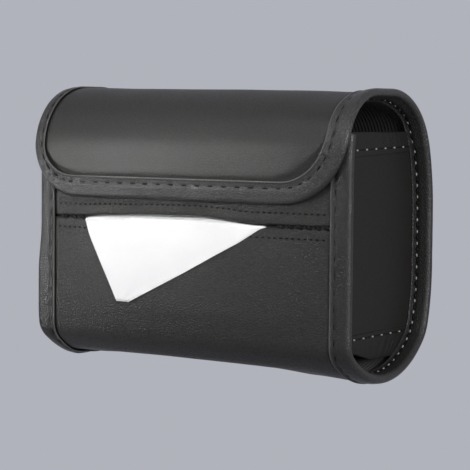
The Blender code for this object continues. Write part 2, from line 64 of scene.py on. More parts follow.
def addCamera(size):
    turn, rise = math.radians(size["azimuth"]), math.radians(size["elevation"])
    back = Vector((math.sin(turn), -math.cos(turn), math.tan(rise))).normalized()
    rotation = back.to_track_quat("Z", "Y")
    aim = Vector(size["aim"]) + size["right"] * (rotation @ Vector((1, 0, 0)))
    data = bpy.data.cameras.new("photoCamera")
    data.lens = size["lens"]
    camera = bpy.data.objects.new("photoCamera", data)
    camera.location = (aim + size["distance"] * back) * mm
    camera.rotation_mode = "QUATERNION"
    camera.rotation_quaternion = rotation @ Quaternion((0, 0, 1), math.radians(size["roll"]))
    bpy.context.scene.collection.objects.link(camera)
    bpy.context.scene.camera = camera


addCamera(photoView)
print("camera placed")

case = {
    "halfWidth": 98,
    "backY": 0.7,
    "frontY": -89.3,
    "flapFrontY": -94.2,
    "bottomZ": -80,
    "topZ": 70,
    "mouthZ": 47,
    "hingeZ": 51,
    "slotZ": 0,
    "flapEdgeZ": 11,
    "frontCorner": 12.8,
    "backCorner": 23.4,
    "backTop": 42,
    "flapCorner": 34,
    "belly": 9.4,
    "bellyEnd": -43,
    "frontLean": 1.6,
    "frontLeanHeight": 19,
    "backBow": 3,
    "backEase": 23.5,
    "arcStep": 2,
}

# A point inside, which sheets and stitches look away from and lamps look at
heart = (0, -45, -5)

# How deep the outer face of each layer lies below the side outline
depth = {"leather": 1.0, "board": 2.1, "lining": 3.2, "gusset": 4.4, "rim": 5.4, "flap": 4.6}


def arcPoints(centre, radius, first, last):
    turn = (last - first + 180) % 360 - 180
    steps = max(1, math.ceil(abs(turn) / case["arcStep"]))
    angles = [math.radians(first + turn * step / steps) for step in range(steps + 1)]
    return [centre + radius * Vector((math.cos(a), math.sin(a))) for a in angles]


def angleOf(centre, point):
    return math.degrees(math.atan2(point.y - centre.y, point.x - centre.x))


def bowBetween(first, firstRadius, last, lastRadius, endAngle):
    # The large arc that touches two corner arcs and bows out between them
    way = last - first
    outward = Vector((math.cos(math.radians(endAngle)), math.sin(math.radians(endAngle))))
    difference = lastRadius - firstRadius
    reach = (way.length_squared - difference**2) / (2 * (difference + way.dot(outward)))
    return last - outward * reach, lastRadius + reach


def easeInto(corner, radius, flatZ):
    # The arc that leads from a corner of the back into its flat
    rise = flatZ - corner.y
    wide = radius + (case["backBow"] ** 2 + rise**2) / (2 * case["backBow"])
    return Vector((case["backY"] - wide, flatZ)), wide


class SideOutline:
    # The line in the side view that the sheets are bent round, with points as (y, z)
    def __init__(self, stretches):
        self.points, first = [], {}
        for name, points in stretches.items():
            joins = self.points and (self.points[-1] - points[0]).length < 0.001
            first[name] = len(self.points) - 1 if joins else len(self.points)
            self.points += points[1:] if joins else points
        self.lengths = [0.0]
        for a, b in zip(self.points, self.points[1:]):
            self.lengths.append(self.lengths[-1] + (b - a).length)
        self.start = {name: self.lengths[index] for name, index in first.items()}
        ways = [(b - a).normalized() for a, b in zip(self.points, self.points[1:])]
        sides = [Vector((way.y, -way.x)) for way in ways]
        self.mitres = [sides[0], *((a + b) / (1 + a.dot(b)) for a, b in zip(sides, sides[1:])), sides[-1]]

    def place(self, s, inset):
        index = min(max(bisect.bisect_right(self.lengths, s) - 1, 0), len(self.lengths) - 2)
        share = (s - self.lengths[index]) / (self.lengths[index + 1] - self.lengths[index])
        point = self.points[index].lerp(self.points[index + 1], share)
        return point - inset * self.mitres[index].lerp(self.mitres[index + 1], share)

    def reach(self, z, after):
        # The first length past the start of a stretch at which the line is at height z
        for index in range(self.lengths.index(self.start[after]), len(self.points) - 1):
            a, b = self.points[index].y, self.points[index + 1].y
            if min(a, b) <= z <= max(a, b) and a != b:
                length, past = self.lengths[index : index + 2]
                return length + (past - length) * (z - a) / (b - a)


def makeOutline():
    leanRadius = (case["frontLeanHeight"] ** 2 + case["frontLean"] ** 2) / (2 * case["frontLean"])
    lean = Vector((case["frontY"] + leanRadius, case["mouthZ"] - case["frontLeanHeight"]))
    low = case["bottomZ"] + case["belly"]
    frontCorner = Vector((case["frontY"] + case["frontCorner"], low + case["frontCorner"]))
    backCorner = Vector((case["backY"] - case["backBow"] - case["backCorner"], low + case["backCorner"]))
    backTop = Vector((case["backY"] - case["backBow"] - case["backTop"], case["topZ"] - case["backTop"]))
    flapCorner = Vector((case["flapFrontY"] + case["flapCorner"], case["topZ"] - case["flapCorner"]))
    flatLow, flatHigh = backCorner.y + case["backEase"], backTop.y - case["backEase"]
    belly, bellyRadius = bowBetween(
        frontCorner, case["frontCorner"], backCorner, case["backCorner"], case["bellyEnd"]
    )
    lower, lowerRadius = easeInto(backCorner, case["backCorner"], flatLow)
    upper, upperRadius = easeInto(backTop, case["backTop"], flatHigh)
    leanFrom = angleOf(lean, Vector((case["frontY"] + case["frontLean"], case["mouthZ"])))
    bellyFrom, bellyTo = angleOf(belly, frontCorner), angleOf(belly, backCorner)
    lowerFrom, upperTo = angleOf(lower, backCorner), angleOf(upper, backTop)
    return SideOutline({
        "lean": arcPoints(lean, leanRadius, leanFrom, 180),
        "front": [Vector((case["frontY"], lean.y)), Vector((case["frontY"], frontCorner.y))],
        "frontCorner": arcPoints(frontCorner, case["frontCorner"], 180, bellyFrom),
        "belly": arcPoints(belly, bellyRadius, bellyFrom, bellyTo),
        "backCorner": arcPoints(backCorner, case["backCorner"], bellyTo, lowerFrom),
        "back": arcPoints(lower, lowerRadius, lowerFrom, 0),
        "flat": [Vector((case["backY"], flatLow)), Vector((case["backY"], flatHigh))],
        "highBack": arcPoints(upper, upperRadius, 0, upperTo),
        "backTop": arcPoints(backTop, case["backTop"], upperTo, 90),
        "top": [Vector((backTop.x, case["topZ"])), Vector((flapCorner.x, case["topZ"]))],
        "flapCorner": arcPoints(flapCorner, case["flapCorner"], 90, 180),
        "flapFront": [Vector((case["flapFrontY"], flapCorner.y)), Vector((case["flapFrontY"], low))],
    })


outline = makeOutline()
flapEnd = outline.reach(case["flapEdgeZ"], "flapFront")
hinge = outline.reach(case["hingeZ"], "flat")


def onCase(x, s, inset):
    return Vector((x, *outline.place(s, inset)))


def ramp(value, low=0.0, high=1.0):
    share = min(1.0, max(0.0, (value - low) / (high - low)))
    return share * share * (3 - 2 * share)


def bump(value, middle, width):
    return math.exp(-(((value - middle) / width) ** 2))


def uneven(u, v, over, seed):
    # Smooth noise from -1 to 1 with waves of about the lengths in over, the same at each run
    return noise.noise(Vector((u / over[0], v / over[1], seed)))


def hairpin(inFromTip, fold):
    # A sheet folded back on itself: how far in from the tip a point lies, how deep, and how far it
    # has turned. inFromTip runs on past the tip for what lies behind it.
    radius = fold / 2
    turn = min(math.pi, max(0.0, (radius - inFromTip) / radius))
    beyond = max(0.0, inFromTip - radius) + max(0.0, radius - inFromTip - math.pi * radius)
    return radius - radius * math.sin(turn) + beyond, radius - radius * math.cos(turn), turn


def flatGrid(left, right, start, end, cell, rowCell=None):
    bm = bmesh.new()
    columns, rows = math.ceil((right - left) / cell), math.ceil((end - start) / (rowCell or cell))
    bmesh.ops.create_grid(bm, x_segments=columns, y_segments=rows, size=0.5)
    bmesh.ops.scale(bm, vec=(right - left, end - start, 1), verts=bm.verts)
    bmesh.ops.translate(bm, vec=((left + right) / 2, (start + end) / 2, 0), verts=bm.verts)
    return bm


def cutAcross(bm, places, along=True):
    # Adds rows, or columns, of vertices at the given places of a flat grid
    for place in places:
        point, normal = ((0, place, 0), (0, 1, 0)) if along else ((place, 0, 0), (1, 0, 0))
        geometry = bm.verts[:] + bm.edges[:] + bm.faces[:]
        bmesh.ops.bisect_plane(bm, geom=geometry, dist=0.01, plane_co=point, plane_no=normal)


def bendSheet(bm, shape, face=None):
    # Bends a flat grid by shape(x, s), keeps its flat places for the materials, and turns it so
    # that most of it, or the chosen face, looks outward
    kept = bm.verts.layers.float_vector.new("flatPlace")
    for vert in bm.verts:
        vert[kept] = vert.co * mm
        vert.co = shape(vert.co.x, vert.co.y)
    bm.normal_update()
    bm.faces.ensure_lookup_table()
    asked = bm.faces if face is None else [bm.faces[face]]
    if sum(f.calc_area() * f.normal.dot(f.calc_center_median() - Vector(heart)) for f in asked) < 0:
        bmesh.ops.reverse_faces(bm, faces=bm.faces)
    return bm


def makePiece(name, bm, material, slotName, thickness=0.0, edge=0.0, sharp=50):
    bmesh.ops.scale(bm, vec=(mm, mm, mm), verts=bm.verts)
    mesh = bpy.data.meshes.new(name)
    bm.to_mesh(mesh)
    bm.free()
    mesh.materials.append(material)
    mesh.shade_smooth()
    mesh.set_sharp_from_angle(angle=math.radians(sharp))
    piece = bpy.data.objects.new(name, mesh)
    bpy.context.scene.collection.objects.link(piece)
    if thickness:
        wall = piece.modifiers.new("wall", "SOLIDIFY")
        wall.thickness = thickness * mm
        wall.offset = -1
    if edge:
        soft = piece.modifiers.new("edge", "BEVEL")
        soft.width = edge * mm
        soft.segments = 2
        soft.limit_method = "ANGLE"
        soft.angle_limit = math.radians(sharp)
        soft.harden_normals = True
    return piece


# Where sheets turn with the flap. The slot's lower lip lies before it, the flap's lower edge past it.
hingeBand = {"before": 4.1, "past": 6.0, "way": (0, -0.5, 0.866), "tapeJoin": 11}
tapeJoin = hinge - hingeBand["tapeJoin"]


def acrossHinge(piece):
    # Only bakes a piece's placing into its mesh. The hinge's middle and way found here are not used, so
    # nothing turns at the hinge.
    middle, way = onCase(0, hinge, 0), Vector(hingeBand["way"])
    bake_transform(piece)


class Socket:
    # An output in a material's nodes, so that shader maths reads as plain expressions
    def __init__(self, paint, socket):
        self.paint, self.socket = paint, socket

    def maths(self, operation, *others):
        return self.paint.maths(operation, self, *others)

    def __add__(self, other):
        return self.maths("ADD", other)

    def __sub__(self, other):
        return self.maths("SUBTRACT", other)

    def __mul__(self, other):
        return self.maths("MULTIPLY", other)

    def __rsub__(self, other):
        return self.paint.maths("SUBTRACT", other, self)

    __radd__ = __add__
    __rmul__ = __mul__


class Paint:
    # A material with one Principled shader, and calls that add nodes to it
    def __init__(self, name, **fixed):
        self.material = bpy.data.materials.new(name)
        self.material.use_nodes = True
        self.tree = self.material.node_tree
        self.shader = self.tree.nodes["Principled BSDF"]
        self.feed(self.shader, fixed)

    def feed(self, node, inputs):
        for key, value in inputs.items():
            socket = node.inputs[key]
            if isinstance(value, Socket):
                self.tree.links.new(value.socket, socket)
            elif socket.type == "RGBA" and len(value) == 3:
                socket.default_value = (*value, 1)
            else:
                socket.default_value = value

    def add(self, kind, settings=None, inputs=None, output=0):
        node = self.tree.nodes.new("ShaderNode" + kind)
        for key, value in (settings or {}).items():
            setattr(node, key, value)
        self.feed(node, inputs or {})
        return Socket(self, node.outputs[output])

    def maths(self, operation, *values):
        return self.add("Math", {"operation": operation}, dict(enumerate(values)))

    def mix(self, factor, low, high):
        chosen = {"Factor": factor, 6: low, 7: high}
        return self.add("Mix", {"data_type": "RGBA", "clamp_factor": True}, chosen, 2)

    def vector(self, operation, first, second):
        return self.add("VectorMath", {"operation": operation}, {0: first, 1: second})

    def noise(self, place, size, detail=2.0, roughness=0.5):
        inputs = {"Vector": place, "Scale": 1 / (size * mm), "Detail": detail, "Roughness": roughness}
        return self.add("TexNoise", None, inputs)

    def limits(self, value, low, high):
        inputs = {"Value": value, "From Min": low, "From Max": high}
        return self.add("MapRange", {"interpolation_type": "SMOOTHSTEP"}, inputs)

    def waves(self, value, length):
        return self.maths("SINE", value * (math.tau / (length * mm)))

    def raised(self, height, rise):
        return self.add("Bump", None, {"Height": height, "Strength": 1.0, "Distance": rise * mm})

    def place(self):
        return self.add("TexCoord", None, None, 3)

    def flatPlace(self):
        return self.add("Attribute", {"attribute_name": "flatPlace"}, None, 1)

    def parts(self, place):
        node = self.add("SeparateXYZ", None, {0: place}).socket.node
        return [Socket(self, output) for output in node.outputs]

    def finish(self, colour, rough, height, rise):
        normal = self.raised(height, rise)
        self.feed(self.shader, {"Base Color": colour, "Roughness": rough, "Normal": normal})
        return self.material


# Shares of a leather's height, tone and roughness that its pebbles, fine grain and clouds make
grain = {
    "warpScale": 700.0,
    "warp": 0.5,
    "crease": 0.28,
    "fineShare": 0.35,
    "height": (0.75, 0.4),
    "tone": (0.6, 0.4),
    "rough": (0.12, 0.06),
    "edgeWearAndHighlightBand": (0.35, 1.0),
    "edgeWearAndHighlightTone": (0.6, 0.8),
}


def grainedLeather(name, look):
    paint = Paint(name, **look["fixed"])
    place = paint.place()
    drift = paint.add("TexNoise", None, {"Vector": place, "Scale": grain["warpScale"]}, 1)
    bent = paint.vector("ADD", place, paint.vector("MULTIPLY", drift, (grain["warp"] * mm,) * 3))
    cells = {"Vector": bent, "Scale": 1 / (look["pebble"] * mm)}
    crease = paint.add("TexVoronoi", {"feature": "DISTANCE_TO_EDGE"}, cells)
    pebbles = paint.limits(crease, 0.0, grain["crease"])
    fine = paint.noise(place, look["pebble"] * grain["fineShare"], 3.0)
    wide = paint.noise(place, look["cloud"], 2.0)
    _, s, _ = paint.parts(paint.flatPlace())
    tight = paint.limits(s, look["tightFrom"] * mm, (look["tightFrom"] + look["tightOver"]) * mm)
    height = pebbles * grain["height"][0] + fine * grain["height"][1]
    tone = pebbles * grain["tone"][0] + wide * grain["tone"][1]
    colour = paint.mix(tone, look["dark"], look["light"])
    # Lighter along the outer leg's cut edge: partly rubbed wear, partly a painted highlight of the bright
    # line along the tape's inner edge
    if "edgeWearAndHighlight" in look:
        start, end = (length * mm for length in grain["edgeWearAndHighlightBand"])
        edgeWearAndHighlight = (1 - paint.limits(s, start, end)) * (grain["edgeWearAndHighlightTone"][0] + fine * grain["edgeWearAndHighlightTone"][1])
        colour = paint.mix(edgeWearAndHighlight, colour, look["edgeWearAndHighlight"])
    rough = look["rough"] + (wide - 0.5) * grain["rough"][0] - pebbles * grain["rough"][1]
    return paint.finish(colour, rough, height * (1 - tight * look["tight"]), look["rise"])


leatherLook = {
    "pebble": 1.5,
    "rise": 0.22,
    "cloud": 28,
    "tight": 0.8,  # how much of the grain goes where the flap's board draws it tight
    "tightFrom": hinge + 10,
    "tightOver": 30,
    "dark": (0.022, 0.021, 0.0195),
    "light": (0.037, 0.036, 0.0335),
    "rough": 0.48,
    "fixed": {"Specular IOR Level": 0.28},
}
tapeLook = {
    **leatherLook,
    "pebble": 1.3,
    "rise": 0.16,
    "tight": 0.0,
    "dark": (0.019, 0.018, 0.0165),
    "light": (0.037, 0.036, 0.0335),
    "rough": 0.37,
    "edgeWearAndHighlight": (0.115, 0.112, 0.105),  # the rubbed cut edge, lighter also as a painted highlight along the tape's inner edge
    "fixed": {"Specular IOR Level": 0.46},
}
# The rims' tape is the flap's binding tape; its darker colour here is painted shade on the rims
shadedRimLook = {
    **tapeLook,
    "rise": 0.11,
    "dark": (0.015, 0.0145, 0.0135),
    "light": (0.031, 0.030, 0.028),
    "rough": 0.41,
    "fixed": {"Specular IOR Level": 0.34},
}
# The side panels' colour is darker than the case leather's as painted shade on the case's ends
shadedGussetLook = {
    **leatherLook,
    "pebble": 0.8,
    "rise": 0.06,
    "tight": 0.0,
    "dark": (0.0095, 0.009, 0.008),
    "light": (0.017, 0.016, 0.0145),
    "rough": 0.60,
    "fixed": {"Specular IOR Level": 0.2},
}


def ribbedLining(look):
    paint = Paint("ribbedLining", **look["fixed"])
    x, s, _ = paint.parts(paint.flatPlace())
    ribs = paint.waves(x, look["rib"]) * 0.5 + 0.5
    yarns = paint.waves(s, look["yarn"]) * 0.5 + 0.5
    fuzz = paint.noise(paint.place(), look["fuzz"], 2.0)
    height = ribs * 0.8 + yarns * 0.15 + fuzz * 0.3
    colour = paint.mix(ribs * 0.7 + fuzz * 0.3, look["dark"], look["light"])
    return paint.finish(colour, look["rough"] + fuzz * 0.2, height, look["rise"])


liningLook = {
    "rib": 2.0,
    "yarn": 0.8,
    "fuzz": 0.4,
    "rough": 0.72,
    "rise": 0.25,
    "dark": (0.006, 0.006, 0.006),
    "light": (0.026, 0.026, 0.027),
    "fixed": {"Sheen Weight": 0.15, "Sheen Roughness": 0.4},
}


def wovenElastic(look):
    paint = Paint("wovenElastic", **look["fixed"])
    x, s, _ = paint.parts(paint.flatPlace())
    cords, picks = paint.waves(x, look["cord"]), paint.waves(s, look["pick"])
    weave = cords * picks * 0.5 + 0.5
    fuzz = paint.noise(paint.place(), look["fuzz"], 2.0)
    height = weave * 0.6 + paint.maths("ABSOLUTE", cords) * 0.4 + fuzz * 0.2
    colour = paint.mix(weave * 0.7 + fuzz * 0.3, look["dark"], look["light"])
    return paint.finish(colour, look["rough"] + fuzz * 0.2, height, look["rise"])


elasticLook = {
    "cord": 1.6,
    "pick": 1.2,
    "fuzz": 0.35,
    "rough": 0.62,
    "rise": 0.22,
    "dark": (0.010, 0.010, 0.010),
    "light": (0.040, 0.040, 0.042),
    "fixed": {"Sheen Weight": 0.2, "Sheen Roughness": 0.4},
}


def spunThread(name, look):
    paint = Paint(name, **look["fixed"])
    twist = paint.noise(paint.place(), look["twist"], 1.0)
    colour = paint.mix(twist, look["dark"], look["light"])
    return paint.finish(colour, look["rough"] + twist * 0.25, twist, look["rise"])


threadLook = {
    "twist": 0.35,
    "rough": 0.3,
    "rise": 0.1,
    "dark": (0.002, 0.002, 0.002),
    "light": (0.010, 0.010, 0.010),
    "fixed": {"Specular IOR Level": 0.12},
}
# A lighter copy of the black thread: painted highlight on the slot ends' crossing threads
highlitSlotThreadLook = {**threadLook, "dark": (0.03, 0.03, 0.03), "light": (0.07, 0.07, 0.07)}
# A light copy of the black thread: painted highlight on the inner rows' loops
highlitThreadLook = {**threadLook, "dark": (0.18, 0.18, 0.18), "light": (0.45, 0.45, 0.44)}


def softTissue(look):
    paint = Paint("softTissue", **look["fixed"])
    place = paint.place()
    crepe = paint.noise(place, look["crepe"], 3.0, 0.6)
    fibres = paint.noise(place, look["fibre"], 2.0)
    cloud = paint.noise(place, look["cloud"], 2.0)
    colour = paint.mix(cloud * 0.6 + fibres * 0.4, look["dark"], look["light"])
    return paint.finish(colour, look["rough"] + fibres * 0.1, crepe * 0.7 + fibres * 0.3, look["rise"])


tissueLook = {
    "crepe": 0.9,
    "fibre": 0.25,
    "cloud": 14,
    "rough": 0.86,
    "rise": 0.10,
    "dark": (0.90, 0.90, 0.895),
    "light": (0.965, 0.965, 0.96),
    "fixed": {"Sheen Weight": 0.1},
}


# The stack's paper is the pulled tissue's paper, painted darker overall and with painted shade in dark
# lines between its sheets
def shadedStackedTissue(look):
    paint = Paint("shadedStackedTissue", **look["fixed"])
    place = paint.place()
    _, y, _ = paint.parts(place)
    wander = paint.noise(place, look["wander"], 2.0) * 3.0
    sheets = paint.maths("SINE", y * (math.tau / (look["sheet"] * mm)) + wander) * 0.5 + 0.5
    fibres = paint.noise(place, look["fibre"], 2.0)
    colour = paint.mix(sheets * 0.75 + fibres * 0.25, look["dark"], look["light"])
    return paint.finish(colour, look["rough"] + fibres * 0.05, sheets * 0.8 + fibres * 0.3, look["rise"])


shadedStackLook = {
    "sheet": 1.1,
    "wander": 30,
    "fibre": 0.5,
    "rough": 0.9,
    "rise": 0.5,
    "dark": (0.62, 0.62, 0.61),
    "light": (0.92, 0.92, 0.91),
    "fixed": {},
}


def greyBoard(look):
    paint = Paint("greyBoard", **look["fixed"])
    place = paint.place()
    pulp = paint.noise(place, look["pulp"], 4.0, 0.6)
    specks = paint.limits(paint.noise(place, look["speckSize"], 1.0), *look["specksFrom"])
    colour = paint.mix(specks, paint.mix(pulp, look["dark"], look["light"]), look["speck"])
    return paint.finish(colour, look["rough"] + pulp * 0.1, pulp, look["rise"])


boardLook = {
    "pulp": 1.5,
    "speckSize": 0.7,
    "specksFrom": (0.62, 0.72),
    "rough": 0.85,
    "rise": 0.08,
    "dark": (0.20, 0.19, 0.17),
    "light": (0.32, 0.31, 0.28),
    "speck": (0.10, 0.09, 0.08),
    "fixed": {},
}


def fuzzyPatch(name, look):
    paint = Paint(name, **look["fixed"])
    place = paint.place()
    tufts = paint.add("TexVoronoi", None, {"Vector": place, "Scale": 1 / (look["tuft"] * mm)})
    fuzz = paint.noise(place, look["tuft"] * look["fuzzShare"], 3.0, 0.7)
    height = (1 - tufts) * 0.6 + fuzz * 0.6
    colour = paint.mix(height, look["dark"], look["light"])
    return paint.finish(colour, look["rough"] + fuzz * 0.2, height, look["rise"])


loopLook = {
    "tuft": 0.9,
    "fuzzShare": 0.3,
    "rough": 0.7,
    "rise": 0.5,
    "dark": (0.004, 0.004, 0.004),
    "light": (0.045, 0.045, 0.047),
    "fixed": {"Sheen Weight": 0.4, "Sheen Roughness": 0.5},
}
hookLook = {**loopLook, "tuft": 1.2, "rise": 0.3, "light": (0.032, 0.032, 0.034)}

leather = grainedLeather("blackLeather", leatherLook)
tapeLeather = grainedLeather("bindingTape", tapeLook)
# the binding tape with painted shade, for the rims
shadedRimLeather = grainedLeather("rimTape", shadedRimLook)
shadedGussetLeather = grainedLeather("shadedSidePanelLeather", shadedGussetLook)
lining = ribbedLining(liningLook)
elastic = wovenElastic(elasticLook)
thread = spunThread("spunThread", threadLook)
highlitSlotThread = spunThread("highlitSlotThread", highlitSlotThreadLook)
highlitThread = spunThread("highlitThread", highlitThreadLook)
paper = softTissue(tissueLook)
shadedStackPaper = shadedStackedTissue(shadedStackLook)
board = greyBoard(boardLook)
loopFuzz = fuzzyPatch("loopFuzz", loopLook)
hookBase = fuzzyPatch("hookBase", hookLook)
print("materials made")

slot = {
    "gap": 1.1,
    "roll": 3.7,  # the leather's turned lip, over its outer faces
    "hem": 5,
    "left": -67,
    "right": 54,
    "bowHeight": 15,
    "bulge": 0.5,
    "hemEnd": 85.9,
    "turnRow": 0.58,  # the pitch of the vertices round the turned lip
    "turnRows": 13,
    "bulgeAt": (2, 7),
    "drawn": 0.35,  # how far its sewn ends are drawn together
    "drawnFrom": 4,
    "drawnOver": 7,
    # How far the tissue lifts the upper lip, as (x, height) pairs
    "lift": ((-68, 0), (-54, 1.2), (-17, 2.5), (8, 2.9), (47, 0), (53, 0)),
}
upperLip = outline.reach(case["slotZ"] + slot["gap"] / 2, "lean")
lowerLip = outline.reach(case["slotZ"] - slot["gap"] / 2, "lean")


def between(line, x):
    # The height at x of a smooth line through (x, height) pairs
    for (start, low), (end, high) in zip(line, line[1:]):
        if x < end:
            return low + (high - low) * ramp(x, start, end)
    return line[-1][1]


skin = {
    "half": 95.3,
    "flapHalf": 95.7,
    "under": 2.3,  # how far the flap's sheets end inside its edge
    "thickness": 0.8,
    "dip": 0.4,
    "rise": 0.75,
    "stripRise": 0.42,
    "backRise": 0.25,
    "shoulder": 2.0,
    "leftShoulder": 4.6,
    "puff": 3.4,  # how far the front bows out between its rims
    "puffMiddle": 12,
    "puffEnd": 14,  # it starts to go this far before the lower front corner
    "lipShare": 0.55,  # of which the slot's lips take this much
    "lipOver": 16,  # below the slot, where it is full again
    "padRise": 0.3,
    "padHalf": 38,
    "padEdge": 4,  # the raised face of the back rises over this much
    "wave": 0.12,
    "waveOver": (38, 30),
    "widenOver": 4,  # to either side of the hinge
    "hingeOver": 20,
    "leftFrom": (60, 76),  # where the wider shoulder at the flap's left end starts
    "leftEnd": (14, 30),
    "cell": 2.0,
    "edgeColumns": (0, 0.4, 1, 1.6, 2.6),  # in from the tapes
    # How far the bottom is drawn up between its rims and the top sags, as (x, height) pairs
    "waist": ((-98, 0.9), (-87, 2.7), (-57, 3.8), (-23, 4.1), (0, 3.8), (36, 3.1), (63, 1.5), (87, 0.5)),
    "sag": ((-87, 0.1), (-50, 0.7), (11, 1.1), (48, 1.4), (80, 2.2)),
    "waistFrom": 6,  # past the bottom's front edge, and this much later at its left end
    "waistLater": 14,
    "waistLeft": (84, 92),
    "waistRight": 88,
    "waistOver": 20,
    "waistEnd": 26,
    "sagFrom": (4, 30),  # past the hinge
    "sagEnd": (10, 38),  # past the start of the flap's bend
}
flapShape = {"left": 28, "right": 38, "tape": 11.6, "leftShare": 0.68, "shareFrom": 4, "shareTo": 24}
rimTape = 11
tapeInner = case["halfWidth"] - rimTape


def flapRadius(x):
    return flapShape["left"] if x < 0 else flapShape["right"]


def tapeShare(x, s):
    # The flap's tape is folded further over its left side, so that less of it shows there
    if x > 0:
        return 1.0
    fromSide, fromEnd, radius = case["halfWidth"] + x, flapEnd - s, flapShape["left"]
    turned = math.atan2(max(0.0, radius - fromEnd), max(0.001, radius - fromSide)) / (math.pi / 2)
    started = ramp(s, hinge - flapShape["shareFrom"], hinge + flapShape["shareTo"])
    narrow = (1 - flapShape["leftShare"]) * started * (1 - ramp(turned))
    return 1 - narrow * (fromSide < radius)


def insideTape(x, s):
    # How far a point of the leather lies inside the inner edge of the tape round it
    fromSide, fromEnd, radius = case["halfWidth"] - abs(x), flapEnd - s, flapRadius(x)
    if s < hinge:
        return fromSide - rimTape
    wide = flapShape["tape"] * tapeShare(x, s)
    if fromSide < radius and fromEnd < radius:
        return radius - math.hypot(radius - fromSide, radius - fromEnd) - wide
    return min(fromSide - wide, fromEnd - flapShape["tape"])


def narrowed(x, s):
    # Draws the corners of the flap's sheets in to its rounded outline
    onFlap = ramp(s, hinge - skin["widenOver"], hinge + skin["widenOver"])
    half = skin["half"] + (skin["flapHalf"] - skin["half"]) * onFlap
    radius = flapRadius(x) - skin["under"]
    along = min(1.0, max(0.0, (s - (flapEnd - flapRadius(x))) / radius))
    corner = case["halfWidth"] - flapRadius(x)
    if along > 0:
        half = corner + radius * math.sqrt(1 - along**2)
    return x / skin["half"] * half


def waist(x, s):
    # The bottom hangs less between the rims than at them
    first = outline.start["belly"] + skin["waistFrom"] + skin["waistLater"] * ramp(-x, *skin["waistLeft"])
    last = outline.start["backCorner"]
    along = ramp(s, first, first + skin["waistOver"])
    along *= 1 - ramp(s, last - skin["waistEnd"], last)
    return between(skin["waist"], x) * along * ramp(skin["waistRight"] - x, 0, 4)


def topSag(x, s):
    # The top and the flap's bend sag a little between the sides
    corner = outline.start["flapCorner"]
    along = ramp(s, *(hinge + past for past in skin["sagFrom"]))
    along *= 1 - ramp(s, *(corner + past for past in skin["sagEnd"]))
    return between(skin["sag"], x) * along * ramp(case["halfWidth"] - abs(x), 0, flapShape["tape"])


def shoulder(edge, width):
    # Steep beside the tape, and level further in
    return math.sqrt(1 - (1 - min(1.0, max(0.0, edge / width))) ** 2)


def frontPuff(x):
    # The front is fullest a little right of its middle
    fromMiddle = x - skin["puffMiddle"]
    reach = tapeInner + skin["puffMiddle"] if fromMiddle < 0 else tapeInner - skin["puffMiddle"]
    return skin["puff"] * (1 - min(1.0, abs(fromMiddle) / reach) ** 2)


def leatherDepth(x, s):
    pastHinge = ramp(s, hinge, hinge + skin["hingeOver"])
    onBack = ramp(s, outline.start["backCorner"], outline.start["back"]) * (1 - pastHinge)
    rise = skin["rise"] + (skin["backRise"] - skin["rise"]) * onBack
    low, high, soft = outline.start["flat"], outline.start["highBack"], skin["padEdge"]
    pad = ramp(s, low - soft, low) * ramp(-s, -high - soft, -high)
    pad *= ramp(skin["padHalf"] + soft - abs(x), 0, soft)
    atLeft = ramp(-x, *skin["leftFrom"]) * pastHinge * ramp(flapEnd - s, *skin["leftEnd"])
    width = skin["shoulder"] + (skin["leftShoulder"] - skin["shoulder"]) * atLeft
    inset = depth["leather"] + skin["dip"] - (rise + skin["dip"]) * shoulder(insideTape(x, s), width)
    full = skin["lipShare"] + (1 - skin["lipShare"]) * ramp(s, lowerLip, lowerLip + skin["lipOver"])
    full *= 1 - ramp(s, outline.start["frontCorner"] - skin["puffEnd"], outline.start["belly"])
    inset -= frontPuff(x) * full
    wave = skin["wave"] * (1 - onBack) * uneven(x, s, skin["waveOver"], 2)
    inset += waist(x, s) + topSag(x, s) + wave
    return inset + (depth["leather"] - skin["padRise"] - inset) * pad


def drawnShut(x, inward):
    # How far a lip is drawn over the slot where its ends are sewn
    past = ramp(x, slot["right"], slot["right"] + slot["drawnFrom"])
    past += ramp(slot["left"] - x, 0, slot["drawnFrom"])
    return slot["drawn"] * past * (1 - ramp(inward, 0, slot["drawnOver"]))


def frontPoint(x, s):
    # The outer leather in one sheet: front below the slot, bottom, back and flap
    inward, turned, _ = hairpin(s - lowerLip, slot["roll"])
    s = lowerLip + inward
    return onCase(narrowed(x, s), s - drawnShut(x, inward), leatherDepth(x, s) + turned)


def lippedGrid(lip, way, end):
    # A sheet from the slot's lip that it is turned in at (way is 1 at the lower lip and -1 at the
    # upper) to its other end. It has close rows for the turn and close columns for its shoulders
    # beside the tapes, and its hem stops short of them.
    tip = lip + way * slot["roll"] / 2 * (1 - math.pi)
    first, last = sorted((tip - way * slot["hem"], end))
    bm = flatGrid(-skin["half"], skin["half"], first, last, skin["cell"])
    cutAcross(bm, [tip + way * step * slot["turnRow"] for step in range(1, slot["turnRows"] + 1)])
    edges = [side * (tapeInner - step) for side in (-1, 1) for step in skin["edgeColumns"]]
    cutAcross(bm, edges, along=False)
    centres = ((face, face.calc_center_median()) for face in bm.faces)
    spare = [face for face, c in centres if abs(c.x) > slot["hemEnd"] and way * (c.y - lip) < 0]
    bmesh.ops.delete(bm, geom=spare, context="FACES")
    return bm


def addOuterLeather():
    grid = lippedGrid(lowerLip, 1, flapEnd - skin["under"])
    leatherPiece = makePiece(
        "outerLeather", bendSheet(grid, frontPoint), leather, "leather", skin["thickness"]
    )
    acrossHinge(leatherPiece)
    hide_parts("case_leather", "flap_leather")


def insidePoint(x, s, layer="lining"):
    return onCase(narrowed(x, s), s, depth[layer] + waist(x, s) + topSag(x, s))


inside = {"board": 0.8, "lining": 0.4, "boardCell": 4.0, "liningCell": 3.0, "backEnd": 8, "flapStart": 5}


